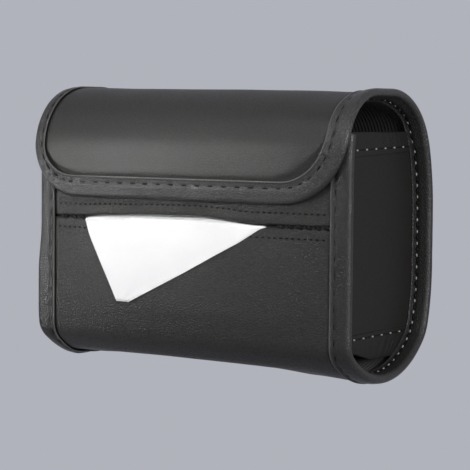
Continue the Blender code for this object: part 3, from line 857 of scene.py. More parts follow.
def addInnerLining():
    start = lowerLip + slot["roll"] / 2
    grid = flatGrid(-skin["half"], skin["half"], start, flapEnd - skin["under"], inside["liningCell"])
    piece = makePiece("innerLining", bendSheet(grid, insidePoint), lining, "lining", inside["lining"])
    acrossHinge(piece)
    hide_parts("case_lining", "flap_lining")


def addBentBoards():
    half = skin["half"]
    for name, first, last, body, node in (
        ("bottomBoard", outline.start["belly"], outline.start["backCorner"], "case", "bottom_board"),
        ("backBoard", outline.start["back"], hinge - inside["backEnd"], "case", "back_board"),
        ("flapBoard", hinge + inside["flapStart"], flapEnd - skin["under"], "flap", "flap_board"),
    ):
        grid = flatGrid(-half, half, first, last, inside["boardCell"])
        bendSheet(grid, lambda x, s: insidePoint(x, s, "board"))
        piece = makePiece(name, grid, board, "board", inside["board"])
        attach(piece, body)
        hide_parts(node)


strip = {"wave": 0.08, "waveOver": (26, 20), "puffOver": 26, "boardFrom": 5, "cell": 2.5}


def stripPoint(x, s, inset=depth["leather"], body=False):
    # The strip above the slot, whose lip bows up over the tissue, or a layer of its body
    inward, turned, _ = (upperLip - s, 0, 0) if body else hairpin(upperLip - s, slot["roll"])
    lift = between(slot["lift"], x)
    bulge = slot["bulge"] * min(1.0, lift) * bump(inward, *slot["bulgeAt"])
    edge = case["halfWidth"] - abs(x) - rimTape
    if not body:
        inset += skin["dip"] - (skin["stripRise"] + skin["dip"]) * shoulder(edge, skin["shoulder"])
        inset += strip["wave"] * uneven(x, s, strip["waveOver"], 5)
        inset -= skin["lipShare"] * frontPuff(x) * ramp(inward, strip["puffOver"], 0)
    lift = lift * (1 - ramp(inward, 0, slot["bowHeight"])) - drawnShut(x, inward)
    return onCase(x, upperLip - inward - lift, inset + turned - bulge)


def addSlotStrip():
    grid = bendSheet(lippedGrid(upperLip, -1, 0), stripPoint)
    piece = makePiece("slotStrip", grid, leather, "leather", skin["thickness"])
    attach(piece, "case")
    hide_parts("slot_strip")
    half, under = skin["half"], upperLip - slot["roll"] / 2
    for name, first, layer, material, node in (
        ("slotStripBoard", strip["boardFrom"], "board", board, "slot_strip_board"),
        ("slotStripLining", 0, "lining", lining, "slot_strip_lining"),
    ):
        grid = flatGrid(-half, half, first, under, strip["cell"])
        bendSheet(grid, lambda x, s, inset=depth[layer]: stripPoint(x, s, inset, body=True))
        piece = makePiece(name, grid, material, layer, inside[layer])
        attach(piece, "case")
        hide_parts(node)


addOuterLeather()
addInnerLining()
addBentBoards()
addSlotStrip()
print("leather, lining and boards bent")

tape = {
    "thickness": 0.7,
    "cell": 1.25,
    "rimRow": 2.4,  # the stitches, in from the tape's own edge
    "flapRow": 3.5,
    "innerRow": 3.2,
    "pitch": 8.3,
    "innerPitch": 6.3,
    "groove": 0.55,
    "pillow": 0.2,
    "bead": 0.6,
    "crown": 0.6,  # how far the outer leg falls away towards the fold
    "pucker": 0.6,
    "edge": 0.2,
    "row": 0.62,
    "rowHalf": 0.8,
    "beat": (0.65, 0.35),  # the groove's mean depth and how much deeper it is at each stitch
    "beadAt": (0.4, 0.55),
    "pillowAt": (5.4, 2.2),
    "puckerAt": (4.8, 3.2),  # its middle and half width, as for the bead and the pillow
    "puckerOver": (2.6, 14),
    "fineOver": (1.3, 6),
    "fineShare": 0.5,
    "wave": 0.05,
    "waveOver": (7, 5),
    "flapPucker": 0.16,  # its share along the straights
    "flapReach": 0.75,
    "rimPucker": 0.14,
    "rimCorner": 0.45,
    "rimReach": 16,
    "rimCorners": {"frontCorner": 10, "backCorner": 0, "highBack": 20},
    "thinFrom": 2,
    "thinTo": 6,
    "swell": 2.1,  # how far the left rim stands out above its lower corner
    "swellFrom": (3, 32),
    "swellEnd": (8, 12),
}


class FoldedTape:
    # Binding folded over an edge: t runs along the edge, w across from the outer leg's cut edge
    def __init__(self, width, length, rowIn, edgeAt, foldAt, puckerAt, seed):
        self.width, self.length = width, length
        self.edgeAt, self.foldAt, self.puckerAt, self.seed = edgeAt, foldAt, puckerAt, seed
        self.across = 2 * (width - depth["rim"] / 2) + math.pi * depth["rim"] / 2
        self.rows = (rowIn, self.across - tape["innerRow"])

    def relief(self, t, w):
        inner = min(w, self.across - w)
        row = max(bump(w, place, tape["rowHalf"]) for place in self.rows)
        turns = math.tau * t / self.length * round(self.length / tape["pitch"])
        beat = tape["beat"][0] - tape["beat"][1] * math.cos(turns)
        wave = tape["wave"] * uneven(t, w, tape["waveOver"], self.seed)
        height = tape["bead"] * bump(inner, *tape["beadAt"]) - tape["groove"] * row * beat
        height += tape["pillow"] * bump(inner, *tape["pillowAt"]) + wave
        fine = tape["fineShare"] * uneven(t, w, tape["fineOver"], self.seed + 3)
        folds = uneven(t, w, tape["puckerOver"], self.seed + 7) + fine
        return height + tape["pucker"] * self.puckerAt(t) * folds * bump(inner, *tape["puckerAt"])

    def point(self, t, w):
        fold = self.foldAt(t)
        past = w / self.across * (2 * (self.width - fold / 2) + math.pi * fold / 2)
        inward, inset, turn = hairpin(self.width - past, fold)
        height = self.relief(t, w)
        inward, inset = inward - height * math.sin(turn), inset - height * math.cos(turn)
        inset += tape["crown"] * (1 - min(1.0, inward / self.width)) ** 2 * (1 - inset / fold)
        x, s = self.edgeAt(t, inward)
        return onCase(x, s, inset + topSag(x, s) + waist(x, s) * (x < 0))

    def make(self, name, material, node):
        grid = flatGrid(0, self.length, 0, self.across, tape["cell"], tape["row"])
        bendSheet(grid, self.point, face=0)
        piece = makePiece(name, grid, material, "binding", tape["thickness"], tape["edge"])
        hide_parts(node)
        return piece


def flapEdgeAt(t, inward):
    # The flap's outline from the left end of its tape, round both lower corners, to the right end
    half = case["halfWidth"]
    for side, radius in ((-1, flapShape["left"]), (1, flapShape["right"])):
        straight = flapEnd - radius - tapeJoin
        along = t if side < 0 else flapTapeLength - t
        if along < straight:
            inward *= tapeShare(side * (half - 1), tapeJoin + along)
            return side * (half - inward), tapeJoin + along
        if along < straight + radius * math.pi / 2:
            turn = (along - straight) / radius
            middle, low = half - radius, flapEnd - radius
            inward *= tapeShare(side * (middle + radius * math.cos(turn)), low + radius * math.sin(turn))
            reach = radius - inward
            return side * (middle + reach * math.cos(turn)), low + reach * math.sin(turn)
    leftEnd = flapEnd - flapShape["left"] - tapeJoin + flapShape["left"] * math.pi / 2
    return t - leftEnd - half + flapShape["left"], flapEnd - inward


def flapCornerAt(t):
    # How near a place on the flap's tape is to a lower corner
    near = tape["flapPucker"]
    for along, radius in ((t, flapShape["left"]), (flapTapeLength - t, flapShape["right"])):
        middle = flapEnd - radius - tapeJoin + radius * math.pi / 4
        near = max(near, bump(along, middle, radius * tape["flapReach"]))
    return near


def rimEdge(side):
    # The outline of a rim, of which the left one stands out above its lower corner
    before, after = tape["swellEnd"]
    first, last = outline.start["frontCorner"] - before, outline.start["belly"] + after

    def edgeAt(t, inward):
        low = ramp(t, *(lowerLip + past for past in tape["swellFrom"]))
        low *= 1 - ramp(t, first, last)
        swell = tape["swell"] * low * (side < 0) * (1 - ramp(inward, 0, rimTape))
        return side * (case["halfWidth"] - inward + swell), t

    return edgeAt


def rimCornerAt(t):
    # How much the tape of a rim puckers at a place, most round its corners
    corners = (outline.start[name] + past for name, past in tape["rimCorners"].items())
    near = (tape["rimCorner"] * bump(t, corner, tape["rimReach"]) for corner in corners)
    return max(tape["rimPucker"], *near)


def flapFoldAt(t):
    # The tape is folded round less on the flap than on the case's back
    along = tapeJoin + min(t, flapTapeLength - t)
    onFlap = ramp(along, tapeJoin + tape["thinFrom"], hinge + tape["thinTo"])
    return depth["rim"] + (depth["flap"] - depth["rim"]) * onFlap


radii = flapShape["left"] + flapShape["right"]
flapTapeLength = 2 * (flapEnd - tapeJoin) + 2 * case["halfWidth"] + radii * (math.pi / 2 - 2)

stitchLook = {"length": 4.8, "width": 1.35, "height": 0.8, "sunk": 0.05}
rimStitchLook = {"length": 4.4, "width": 0.95, "height": 0.6, "sunk": -0.05}
innerStitchLook = {**stitchLook, "length": 3.0}
hemStitchLook = {**stitchLook, "length": 3.4, "width": 0.8}
loopStitchLook = {"length": 1.9, "width": 1.05, "height": 0.9, "sunk": 0.1}  # the lower thread's loops


def spotOn(shape, u, v, along=(1, 0), step=0.3):
    # A place on a bent sheet, the way along it and the way out of it
    place, du, dv = shape(u, v), step * along[0], step * along[1]
    way = shape(u + du, v + dv) - shape(u - du, v - dv)
    side = shape(u - dv, v + du) - place
    way.normalize()
    return place, way, way.cross(side).normalized()


def addStitches(name, spots, look, material=thread, outward=False):
    bm = bmesh.new()
    for place, way, out in spots:
        if outward and out.dot(place - Vector(heart)) < 0:
            out = -out
        turned = Matrix((way, out.cross(way), out)).transposed().to_4x4()
        size = Matrix.Diagonal((look["length"] / 2, look["width"] / 2, look["height"] / 2, 1))
        matrix = Matrix.Translation(place + out * look["sunk"]) @ turned @ size
        bmesh.ops.create_uvsphere(bm, u_segments=8, v_segments=5, radius=1, matrix=matrix)
    return makePiece(name, bm, material, "binding", sharp=180)


def evenly(start, end, pitch):
    count = max(1, round((end - start) / pitch))
    return [start + (end - start) * (index + 0.5) / count for index in range(count)]


def addTapeStitches(word, folded, look, carry):
    # Dark dashes outside, and inside a row of loops with a dark dash between each two. The loops' light
    # colour is a painted highlight on the same black thread.
    outer, inner = folded.rows
    places = evenly(0, folded.length, tape["innerPitch"])
    step = (places[1] - places[0]) / 2
    for name, w, along, size, material in (
        ("Stitches", outer, evenly(0, folded.length, tape["pitch"]), look, thread),
        ("InnerLoops", inner, places, loopStitchLook, highlitThread),
        ("InnerStitches", inner, [t + step for t in places[:-1]], innerStitchLook, thread),
    ):
        spots = [spotOn(folded.point, t, w) for t in along]
        carry(addStitches(word + name, spots, size, material))


def addTapes():
    flapTape = FoldedTape(
        flapShape["tape"], flapTapeLength, tape["flapRow"], flapEdgeAt, flapFoldAt, flapCornerAt, 1
    )
    acrossHinge(flapTape.make("flapTape", tapeLeather, "flap_binding"))
    addTapeStitches("flapTape", flapTape, stitchLook, acrossHinge)
    for word, side, node in (("leftRim", -1, "left_rim_binding"), ("rightRim", 1, "right_rim_binding")):
        rim = FoldedTape(
            rimTape, tapeJoin, tape["rimRow"], rimEdge(side), lambda t: depth["rim"], rimCornerAt, 11 + side
        )
        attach(rim.make(word + "Tape", shadedRimLeather, node), "case")
        addTapeStitches(word, rim, rimStitchLook, lambda piece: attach(piece, "case"))


addTapes()
print("tapes folded and stitched")

rowLook = {"length": 2.3, "width": 1.1, "height": 0.6, "sunk": 0.08}
rows = {"pitch": 3.5, "stripAboveLip": 6.2, "hemBelowLip": 5.3, "half": 85, "mouthIn": 3}
slotEnd = {"front": -88.55, "way": (0.93, 0, -0.37), "pitch": 5.2, "half": 85, "darkOut": 0.2}
slotEndLook = {"length": 1.6, "width": 0.8, "height": 0.6, "sunk": 0.0}
slotEndDark = {"length": 4.3, "width": 2.0, "height": 1.0, "sunk": 0.1}


def addFrontStitches():
    stripRow = upperLip - rows["stripAboveLip"]
    places = evenly(-rows["half"], rows["half"], rows["pitch"])
    spots = [spotOn(stripPoint, x, s) for s in (stripRow, rows["mouthIn"]) for x in places]
    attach(addStitches("slotStripStitches", spots, rowLook, outward=True), "case")
    spots = [spotOn(frontPoint, x, lowerLip + rows["hemBelowLip"]) for x in places]
    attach(addStitches("lowerLipStitches", spots, rowLook, outward=True), "case")


def addSlotEnds():
    # Slanting threads that sew the slot shut beyond the tissue, in a lighter copy of the black thread as a
    # painted highlight
    way, out = Vector(slotEnd["way"]).normalized(), Vector((0, -1, 0))
    spots = [
        (Vector((x, slotEnd["front"] - skin["lipShare"] * frontPuff(x), case["slotZ"])), way, out)
        for start, end in ((-slotEnd["half"], slot["left"]), (slot["right"], slotEnd["half"]))
        for x in evenly(start, end, slotEnd["pitch"])
    ]
    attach(addStitches("slotEndThreads", spots, slotEndLook, highlitSlotThread), "case")
    beside = Vector((slotEnd["pitch"] / 2, -slotEnd["darkOut"], 0))
    spots = [(place + beside, way, out) for place, way, out in spots]
    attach(addStitches("slotEndStitches", spots, slotEndDark), "case")


addFrontStitches()
addSlotEnds()
print("front stitched")

sidePanel = {
    "face": 86.7,
    "thickness": 0.5,
    "bottom": -63.5,
    "top": 47,
    "columns": 60,
    "turnedOut": 2,
    "row": 2.0,
    "flange": 8.6,
    "billow": 0.55,
    "waves": 5,
    "waveOver": (1, 60),
    "waveRange": (0.7, 0.5),
    "tautTop": 14,
    "topGap": 0.2,
    "depth": 80,  # about, from front to back
    "topHem": {"width": 12.5, "row": 9.2, "ripple": 0.7},
    "bottomHem": {"width": 8.8, "row": 6.6, "ripple": 0.8},
    "hemFace": 87.5,
    "hemFold": 1.3,
    "hemPast": 0.5,
    "hemTuck": 3.5,
    "hemCell": (1 / 75, 0.6),
    "hemRoom": 5.8,
    "hemLean": (1.06, 0.2),
    "rippleOver": (3.1, 30),
    "rippleReach": 2.4,
    "fineOver": (1.7, 9),
    "fineShare": 0.6,
    "groove": 0.3,
    "grooveHalf": 0.9,
    "deepest": 0.2,
    "wallRange": (-68.5, 46.9),
    "lowBack": 5.5,  # how much lower its lower end hangs towards the back
    "lowOver": (0.1, 0.6),
    "stitched": (0.06, 0.98),
    "pitch": 10.6,
}


def wallsAt(z, inset):
    # The front and back y between the case's walls at a height
    crown = outline.start["top"]
    lengths = [length for length in outline.lengths if length <= crown]
    points = [outline.place(s, inset) for s in lengths]
    points.insert(0, Vector((points[0].x, points[-1].y)))
    found = [
        a.x + (b.x - a.x) * (z - a.y) / (b.y - a.y)
        for a, b in zip(points, points[1:])
        if min(a.y, b.y) < z <= max(a.y, b.y)
    ]
    return min(found), max(found)


class SidePanel:
    # An end panel: its web, with edges turned out under the tape, and the hems over both its ends
    def __init__(self, seed):
        self.seed, self.spans = seed, {}

    def span(self, z, inset):
        key = (round(z, 2), inset)
        if key not in self.spans:
            self.spans[key] = wallsAt(z, inset)
        return self.spans[key]

    def webPoint(self, u, z):
        front, back = self.span(z, depth["gusset"])
        columns = sidePanel["columns"]
        share = min(1.0, max(0.0, u / columns))
        out = max(0.0, -u, u - columns) / sidePanel["turnedOut"] * sidePanel["flange"]
        loose = math.sin(math.pi * share) * ramp(sidePanel["top"] - z, 0, sidePanel["tautTop"])
        wave = uneven(share * sidePanel["waves"], z, sidePanel["waveOver"], self.seed)
        wave = sidePanel["waveRange"][0] * wave - sidePanel["waveRange"][1]
        z -= self.drop(share, z - sidePanel["bottom"])
        x = sidePanel["face"] + out + sidePanel["billow"] * loose * wave
        return Vector((x, front + (back - front) * share, z))

    def drop(self, share, above):
        # How much lower than at its front the panel's lower end hangs
        hangs = 1 - min(1.0, max(0.0, above / sidePanel["bottomHem"]["row"]))
        return sidePanel["lowBack"] * ramp(share, *sidePanel["lowOver"]) * hangs

    def hemPoint(self, share, w, end):
        hem, seed = sidePanel[end], self.seed
        inward, inset, turn = hairpin(hem["width"] - w, sidePanel["hemFold"])
        y = share * sidePanel["depth"]
        ripples = uneven(y, w, sidePanel["rippleOver"], seed + 4)
        ripples += sidePanel["fineShare"] * uneven(y, w, sidePanel["fineOver"], seed + 6)
        reach = hem["row"] / sidePanel["rippleReach"]
        height = hem["ripple"] * ripples * bump(inward, hem["row"] / 2, reach) * math.cos(turn) ** 2
        height -= sidePanel["groove"] * bump(inward, hem["row"], sidePanel["grooveHalf"])
        if end == "topHem":
            lean = sidePanel["hemLean"][0] - sidePanel["hemLean"][1] * share
            z = sidePanel["top"] + sidePanel["hemPast"] - inward * lean
        else:
            z = sidePanel["bottom"] - sidePanel["hemPast"] + inward - self.drop(share, inward)
        low, high = sidePanel["wallRange"]
        front, back = self.span(min(high, max(low, z)), sidePanel["hemRoom"])
        x = sidePanel["hemFace"] - inset + max(-sidePanel["deepest"], height)
        return Vector((x, front + (back - front) * share, z))

    def make(self, name, side, node):
        past, columns = sidePanel["turnedOut"], sidePanel["columns"]
        low, high = sidePanel["bottom"], sidePanel["top"] - sidePanel["topGap"]
        whole = flatGrid(-past, columns + past, low, high, 1, sidePanel["row"])
        bendSheet(whole, self.webPoint, face=len(whole.faces) // 2)
        hems = {end: lambda a, w, end=end: self.hemPoint(a, w, end) for end in ("topHem", "bottomHem")}
        for end, shape in hems.items():
            width = sidePanel[end]["width"] + sidePanel["hemTuck"]
            hem = bendSheet(flatGrid(0, 1, 0, width, *sidePanel["hemCell"]), shape, face=0)
            mesh = bpy.data.meshes.new("hem")
            hem.to_mesh(mesh)
            hem.free()
            whole.from_mesh(mesh)
            bpy.data.meshes.remove(mesh)
        if side < 0:
            bmesh.ops.scale(whole, vec=(-1, 1, 1), verts=whole.verts)
            bmesh.ops.reverse_faces(whole, faces=whole.faces)
        piece = makePiece(name, whole, shadedGussetLeather, "leather", sidePanel["thickness"])
        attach(piece, "case")
        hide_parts(node)
        mirror, out = Vector((side, 1, 1)), Vector((side, 0, 0))
        shares = evenly(*sidePanel["stitched"], sidePanel["pitch"] / sidePanel["depth"])
        step = (shares[1] - shares[0]) / 3
        # The hems' loops get the light thread, a painted highlight on the same black thread
        for word, places, size, material in (
            ("Loops", shares, loopStitchLook, highlitThread),
            ("Stitches", [share + step * k for share in shares for k in (1, 2)], hemStitchLook, thread),
        ):
            spots = []
            for end, shape in hems.items():
                w = sidePanel[end]["width"] - sidePanel[end]["row"]
                spots += [spotOn(shape, share, w, (0.02, 0)) for share in places]
            spots = [(place * mirror, way * mirror, out) for place, way, _ in spots]
            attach(addStitches(name + word, spots, size, material), "case")


SidePanel(21).make("leftSidePanel", -1, "left_gusset")
SidePanel(34).make("rightSidePanel", 1, "right_gusset")
print("side panels hung")

strap = {
    "middle": 52,
    "width": 25,
    "wall": 1.15,
    "inset": -0.5,
    "ribRise": 0.04,
    "rib": 3.2,
    "low": -51.9,
    "high": 37.2,
    "edge": 0.35,
    "cell": 1.5,
    "tabPast": 4,
    "tabLength": 16,
    "tabSide": 4,
    "tabRoom": 0.3,
    "tabCell": 0.8,
    "tabEdge": 0.3,
    "tabRow": 2.2,
    "rowHalf": 0.8,
    "rowIn": 2,
    "groove": 0.14,
    "pitch": 3.2,
    "crossIn": 3,
    "crossPitch": 0.27,
    "tabSlope": 1.2,
    "tabInset": -0.1,
    "tabThickness": 0.8,
    "lift": 1.5,
}


def addTab(word, place, middle, start):
    # A tab over a strap's end, sewn round its edge and crosswise
    half, end = strap["width"] / 2, start + strap["tabLength"]
    foot = half + strap["tabRoom"] + strap["tabSlope"]
    edge = foot + strap["tabSide"]

    def tabPoint(x, s):
        raised = ramp(foot - abs(x - middle), 0, strap["tabSlope"])
        inward = min(edge - abs(x - middle), s - start, end - s)
        row = strap["groove"] * bump(inward, strap["tabRow"], strap["rowHalf"])
        return onCase(x, s, strap["tabInset"] - strap["lift"] * raised + row)

    grid = flatGrid(middle - edge, middle + edge, start, end, strap["tabCell"])
    bendSheet(grid, tabPoint)
    name = word + place + "Tab"
    piece = makePiece(name, grid, tapeLeather, "leather", strap["tabThickness"], strap["tabEdge"])
    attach(piece, "case")
    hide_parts(f"{word}_strap_{place.lower()}_tab")
    first, last = start + strap["tabRow"], end - strap["tabRow"]
    across = evenly(middle - edge + strap["rowIn"], middle + edge - strap["rowIn"], strap["pitch"])
    spots = [spotOn(tabPoint, x, s) for s in (first, last) for x in across]
    for x in (middle - edge + strap["tabRow"], middle + edge - strap["tabRow"]):
        spots += [spotOn(tabPoint, x, s, (0, 1)) for s in evenly(first, last, strap["pitch"])]
    reach = half - strap["crossIn"]
    for slope in (-1, 1):
        way = Vector((2 * reach, slope * (last - first))).normalized()
        for share in evenly(-1, 1, strap["crossPitch"]):
            s = (first + last) / 2 + slope * share * (last - first) / 2
            spots.append(spotOn(tabPoint, middle + share * reach, s, way))
    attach(addStitches(name + "Stitches", spots, rowLook, outward=True), "case")


def addStraps():
    low = outline.reach(strap["low"], "backCorner")
    high = outline.reach(strap["high"], "highBack")
    starts = {"Lower": low - strap["tabPast"], "Upper": high + strap["tabPast"] - strap["tabLength"]}
    half = strap["width"] / 2

    def strapPoint(x, s):
        rib = strap["ribRise"] * math.cos(x * math.tau / strap["rib"])
        return onCase(x, s, strap["inset"] + rib)

    for word, middle in (("left", -strap["middle"]), ("right", strap["middle"])):
        grid = flatGrid(middle - half, middle + half, low, high, strap["cell"])
        bendSheet(grid, strapPoint)
        piece = makePiece(word + "Strap", grid, elastic, "elastic", strap["wall"], strap["edge"])
        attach(piece, "case")
        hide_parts(word + "_strap")
        for place, start in starts.items():
            addTab(word, place, middle, start)


addStraps()
print("straps sewn on")

patch = {
    "half": 20,
    "height": 14,
    "low": 23.6,
    "hookInset": 3.9,
    "hookThickness": 0.35,
    "loopThickness": 0.7,
    "loopEdge": 0.2,
    "loopWave": 0.1,
    "loopCell": 1.6,
    "hookCell": 2.0,
}


def addClosure():
    lowZ, highZ = patch["low"], patch["low"] + patch["height"]
    first, last = outline.reach(highZ, "lean"), outline.reach(lowZ, "lean")
    grid = flatGrid(-patch["half"], patch["half"], first, last, patch["loopCell"])
    wall, wave = patch["loopThickness"], patch["loopWave"]
    inset = depth["leather"] - skin["stripRise"] - wall
    bendSheet(grid, lambda x, s: onCase(x, s, inset + wave * uneven(x, s, (1, 1), 3)), face=0)
    piece = makePiece("loopPatch", grid, loopFuzz, "hook_and_loop", wall, patch["loopEdge"])
    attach(piece, "case")
    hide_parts("loop_patch")
    first, last = outline.reach(highZ, "flapCorner"), outline.reach(lowZ, "flapCorner")
    grid = flatGrid(-patch["half"], patch["half"], first, last, patch["hookCell"])
    bendSheet(grid, lambda x, s: onCase(x, s, patch["hookInset"]), face=0)
    piece = makePiece("hookPatch", grid, hookBase, "hook_and_loop", patch["hookThickness"])
    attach(piece, "flap")
    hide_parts("hook_patch")


addClosure()
print("closure sewn on")

stack = {
    "half": 83.4,
    "front": -84.3,
    "back": -21,
    "base": -66.7,
    "top": 31,
    "corner": 10,
    "cornerSteps": 6,
    "soft": 3,
    "softSteps": 4,
    "sharpFrom": 40,
    "slitDepth": 41,
    "slitHalf": 0.7,
}


def addTissueStack():
    # Its side, with the slit that the next tissue is drawn from, pulled out across the case
    front, back, low, high = stack["front"], stack["back"], stack["base"], stack["top"]
    slitEnd, gap = front + stack["slitDepth"], stack["slitHalf"]
    side = (
        (front, low), (back, low), (back, high), (front, high),
        (front, gap), (slitEnd, gap), (slitEnd, -gap), (front, -gap),
    )
    bm = bmesh.new()
    face = bm.faces.new([bm.verts.new((-stack["half"], y, z)) for y, z in side])
    pulled = bmesh.ops.extrude_face_region(bm, geom=[face])["geom"]
    moved = [part for part in pulled if isinstance(part, bmesh.types.BMVert)]
    bmesh.ops.translate(bm, vec=(2 * stack["half"], 0, 0), verts=moved)
    bmesh.ops.recalc_face_normals(bm, faces=bm.faces)
    ends = ((edge, *(vert.co for vert in edge.verts)) for edge in bm.edges)
    lowEdges = [edge for edge, a, b in ends if max(a.z, b.z) < low + 1 and abs((a - b).x) > 1]
    bevel = {"affect": "EDGES", "profile": 0.5, "material": -1}
    bmesh.ops.bevel(bm, geom=lowEdges, offset=stack["corner"], segments=stack["cornerSteps"], **bevel)
    sharpFrom = math.radians(stack["sharpFrom"])
    sharp = [
        e for e in bm.edges
        if e.calc_face_angle(0) > sharpFrom and min(abs(v.co.z) for v in e.verts) > 2 * gap
    ]
    bmesh.ops.bevel(bm, geom=sharp, offset=stack["soft"], segments=stack["softSteps"], **bevel)
    piece = makePiece("tissueStack", bm, shadedStackPaper, "tissue")
    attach(piece, "case")
    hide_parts("tissue_stack")


addTissueStack()

tissue = {
    "thickness": 0.25,
    "tailEnd": -44.3,
    "tailLeft": -64,
    "tailRight": 47,
    "tip": -43.6,
    "left": ((0.5, -66), (-8, -62.5), (-43.6, -42.1)),
    "right": ((0.5, 54), (-1.1, 47.8), (-9.3, 34.6), (-26.5, 1.3), (-43.6, -34.2)),
    "fold": 0.4,
    "foldOut": 0.6,
    "ridges": 2.2,
    "ridgeLean": 0.15,
    "curl": 0.3,
    "curlHalf": (0.05, 0.06),
    "curlFull": 0.3,
    "wave": 0.12,
    "waveFull": 0.2,
    "waveOver": (9, 9),
    "clear": 0.35,
    "loose": 0.85,  # the share of the upper lip's lift that it fills
    "looseFrom": 14,
    "widenFrom": 8,
    "cell": 1.5,
    "columns": 76,
}
lipRadius = slot["roll"] / 2
lipZ = case["slotZ"] - slot["gap"] / 2 - lipRadius
tissueTail = tissue["tailEnd"] - case["frontY"] - depth["leather"] - lipRadius
tissueOver = tissueTail + math.pi / 2 * (lipRadius + tissue["clear"])
tissueLength = tissueOver + lipZ - tissue["tip"]


def along(points, z):
    # The x of a side of the tissue at a height, through (z, x) pairs from the top down
    for (zA, xA), (zB, xB) in zip(points, points[1:]):
        if z >= zB:
            return xA + (xB - xA) * min(1.0, (zA - z) / (zA - zB)) if z < zA else xA
    return points[-1][1]


def tissueSides(v):
    if v <= tissueTail:
        return tissue["tailLeft"], tissue["tailRight"]
    turn = min(1.0, (v - tissueTail) / (tissueOver - tissueTail)) * math.pi / 2
    z = lipZ + (lipRadius + tissue["clear"]) * math.cos(turn) - max(0.0, v - tissueOver)
    out = ramp(v, tissueTail - tissue["widenFrom"], tissueTail)
    tailLeft, tailRight = tissue["tailLeft"], tissue["tailRight"]
    left, right = along(tissue["left"], z), along(tissue["right"], z)
    return tailLeft + (left - tailLeft) * out, tailRight + (right - tailRight) * out


def tissuePoint(a, v):
    # Drawn from the stack's slit, over the lower lip and down the front
    left, right = tissueSides(v)
    x = left + (right - left) * a
    share = min(1.0, max(0.0, (v - tissueTail) / (tissueOver - tissueTail)))
    turn = (1 - share) * math.pi / 2
    fall = max(0.0, v - tissueOver) / (tissueLength - tissueOver)
    ridge = 0.5 - 0.5 * math.cos(math.tau * (a * tissue["ridges"] + tissue["ridgeLean"] * fall))
    out = tissue["clear"] + tissue["fold"] * (ramp(fall) * ridge + fall**2 * tissue["foldOut"])
    edges = bump(a, 0, tissue["curlHalf"][0]) + bump(a, 1, tissue["curlHalf"][1])
    out += tissue["curl"] * ramp(fall, 0, tissue["curlFull"]) * edges
    wave = 1 + uneven(x, v, tissue["waveOver"], 8)
    out += tissue["wave"] * ramp(fall, 0, tissue["waveFull"]) * wave
    raised = tissue["loose"] * between(slot["lift"], x) * math.sin(turn) ** 2
    out += raised * ramp(v, tissueTail - tissue["looseFrom"], tissueTail)
    place = frontPoint(x, lowerLip + lipRadius * (1 - turn) + max(0.0, v - tissueOver))
    place += out * Vector((0, -math.cos(turn), math.sin(turn)))
    place.y += (tissue["tailEnd"] - place.y) * (1 - min(1.0, v / tissueTail))
    return place


def addPulledTissue():
    grid = flatGrid(0, 1, 0, tissueLength, 1 / tissue["columns"], tissue["cell"])
    bendSheet(grid, tissuePoint)
    piece = makePiece("pulledTissue", grid, paper, "tissue", tissue["thickness"])
    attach(piece, "next_tissue")
    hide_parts("pulled_tissue")
    steps = 200
    spans = [tissueSides(tissueLength * (step + 0.5) / steps) for step in range(steps)]
    area = sum(right - left for left, right in spans) * tissueLength / steps
    flat = (max(right - left for left, right in spans), tissueLength)
    flat[0] * mm
    flat[1] * mm
    area * mm * mm


addPulledTissue()
print("tissues folded")

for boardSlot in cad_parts["front_board"].material_slots:
    boardSlot.material = board

studio = {
    "floorZ": -420,
    "floorHalf": 900,
    "clear": (300, 850),
    "backdrop": (0.44, 0.45, 0.50),
    "fill": 0.2,
}
# Soft lamps all round, and two narrow ones that pick out the flap and the front's left end
lamps = {
    "frontLamp": {"place": (365, -1407, 508), "size": 600, "power": 1.4},
    "sideLamp": {"place": (906, -1125, 508), "size": 600, "power": 2.0},
    "topLamp": {"place": (0, -1106, 1056), "size": 600, "power": 5.8},
    "leftLamp": {"place": (-739, -925, 959), "size": 600, "power": 1.6},
    "edgeLamp": {"place": (1388, -550, 255), "size": 350, "power": 13.0},
    "flapLamp": {
        "place": (-500, -787, 89), "size": 160, "power": 0.036, "aim": (-10, -94, 50), "spread": 13,
    },
    "cornerLamp": {
        "place": (-565, -609, -69), "size": 140, "power": 0.026, "aim": (-108, -90, -20), "spread": 14,
    },
}


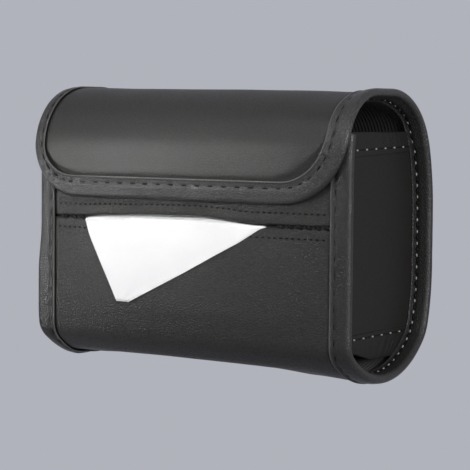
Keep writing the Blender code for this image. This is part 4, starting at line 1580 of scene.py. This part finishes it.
def addLamp(name, size):
    lamp = bpy.data.lights.new(name, "AREA")
    lamp.shape, lamp.size, lamp.energy = "DISK", size["size"] * mm, size["power"]
    holder = bpy.data.objects.new(name, lamp)
    place = Vector(size["place"])
    holder.location = place * mm
    holder.rotation_mode = "QUATERNION"
    lamp.spread = math.radians(size.get("spread", 180))
    aim = Vector(size.get("aim", heart))
    holder.rotation_quaternion = (place - aim).to_track_quat("Z", "Y")
    bpy.context.scene.collection.objects.link(holder)


def addFloor():
    bm = bmesh.new()
    bmesh.ops.create_grid(bm, x_segments=2, y_segments=2, size=studio["floorHalf"] * mm)
    bmesh.ops.translate(bm, vec=(0, 0, studio["floorZ"] * mm), verts=bm.verts)
    mesh = bpy.data.meshes.new("floor")
    bm.to_mesh(mesh)
    bm.free()
    floor = bpy.data.objects.new("floor", mesh)
    bpy.context.scene.collection.objects.link(floor)
    paint = Paint("floor", **{"Roughness": 0.9, "Base Color": studio["backdrop"]})
    away = paint.add("VectorMath", {"operation": "LENGTH"}, {0: paint.place()}, 1)
    near, far = (length * mm for length in studio["clear"])
    clear = paint.add("BsdfTransparent")
    shown = paint.add("MixShader", None, {
        0: paint.limits(away, near, far), 1: Socket(paint, paint.shader.outputs[0]), 2: clear,
    })
    paint.feed(paint.tree.nodes["Material Output"], {"Surface": shown})
    mesh.materials.append(paint.material)


def setWorld():
    world = bpy.data.worlds.new("studio")
    world.use_nodes = True
    bpy.context.scene.world = world
    # The plain backdrop is seen at full strength, and lights the case at the fill's strength only
    nodes, links = world.node_tree.nodes, world.node_tree.links
    plain = nodes["Background"]
    plain.inputs["Color"].default_value = (*studio["backdrop"], 1)
    rays = nodes.new("ShaderNodeLightPath").outputs

    def either(first, second):
        larger = nodes.new("ShaderNodeMath")
        larger.operation = "MAXIMUM"
        links.new(first, larger.inputs[0])
        links.new(second, larger.inputs[1])
        return larger.outputs[0]

    seen = either(rays["Is Camera Ray"], either(rays["Is Glossy Ray"], rays["Is Transmission Ray"]))
    strength = nodes.new("ShaderNodeMapRange")
    strength.inputs["To Min"].default_value = studio["fill"]
    strength.inputs["To Max"].default_value = 1.0
    links.new(seen, strength.inputs["Value"])
    links.new(strength.outputs[0], plain.inputs["Strength"])


for lampName, lampSize in lamps.items():
    addLamp(lampName, lampSize)
addFloor()
setWorld()
bpy.context.scene.view_settings.view_transform = "Standard"
print("studio lit")
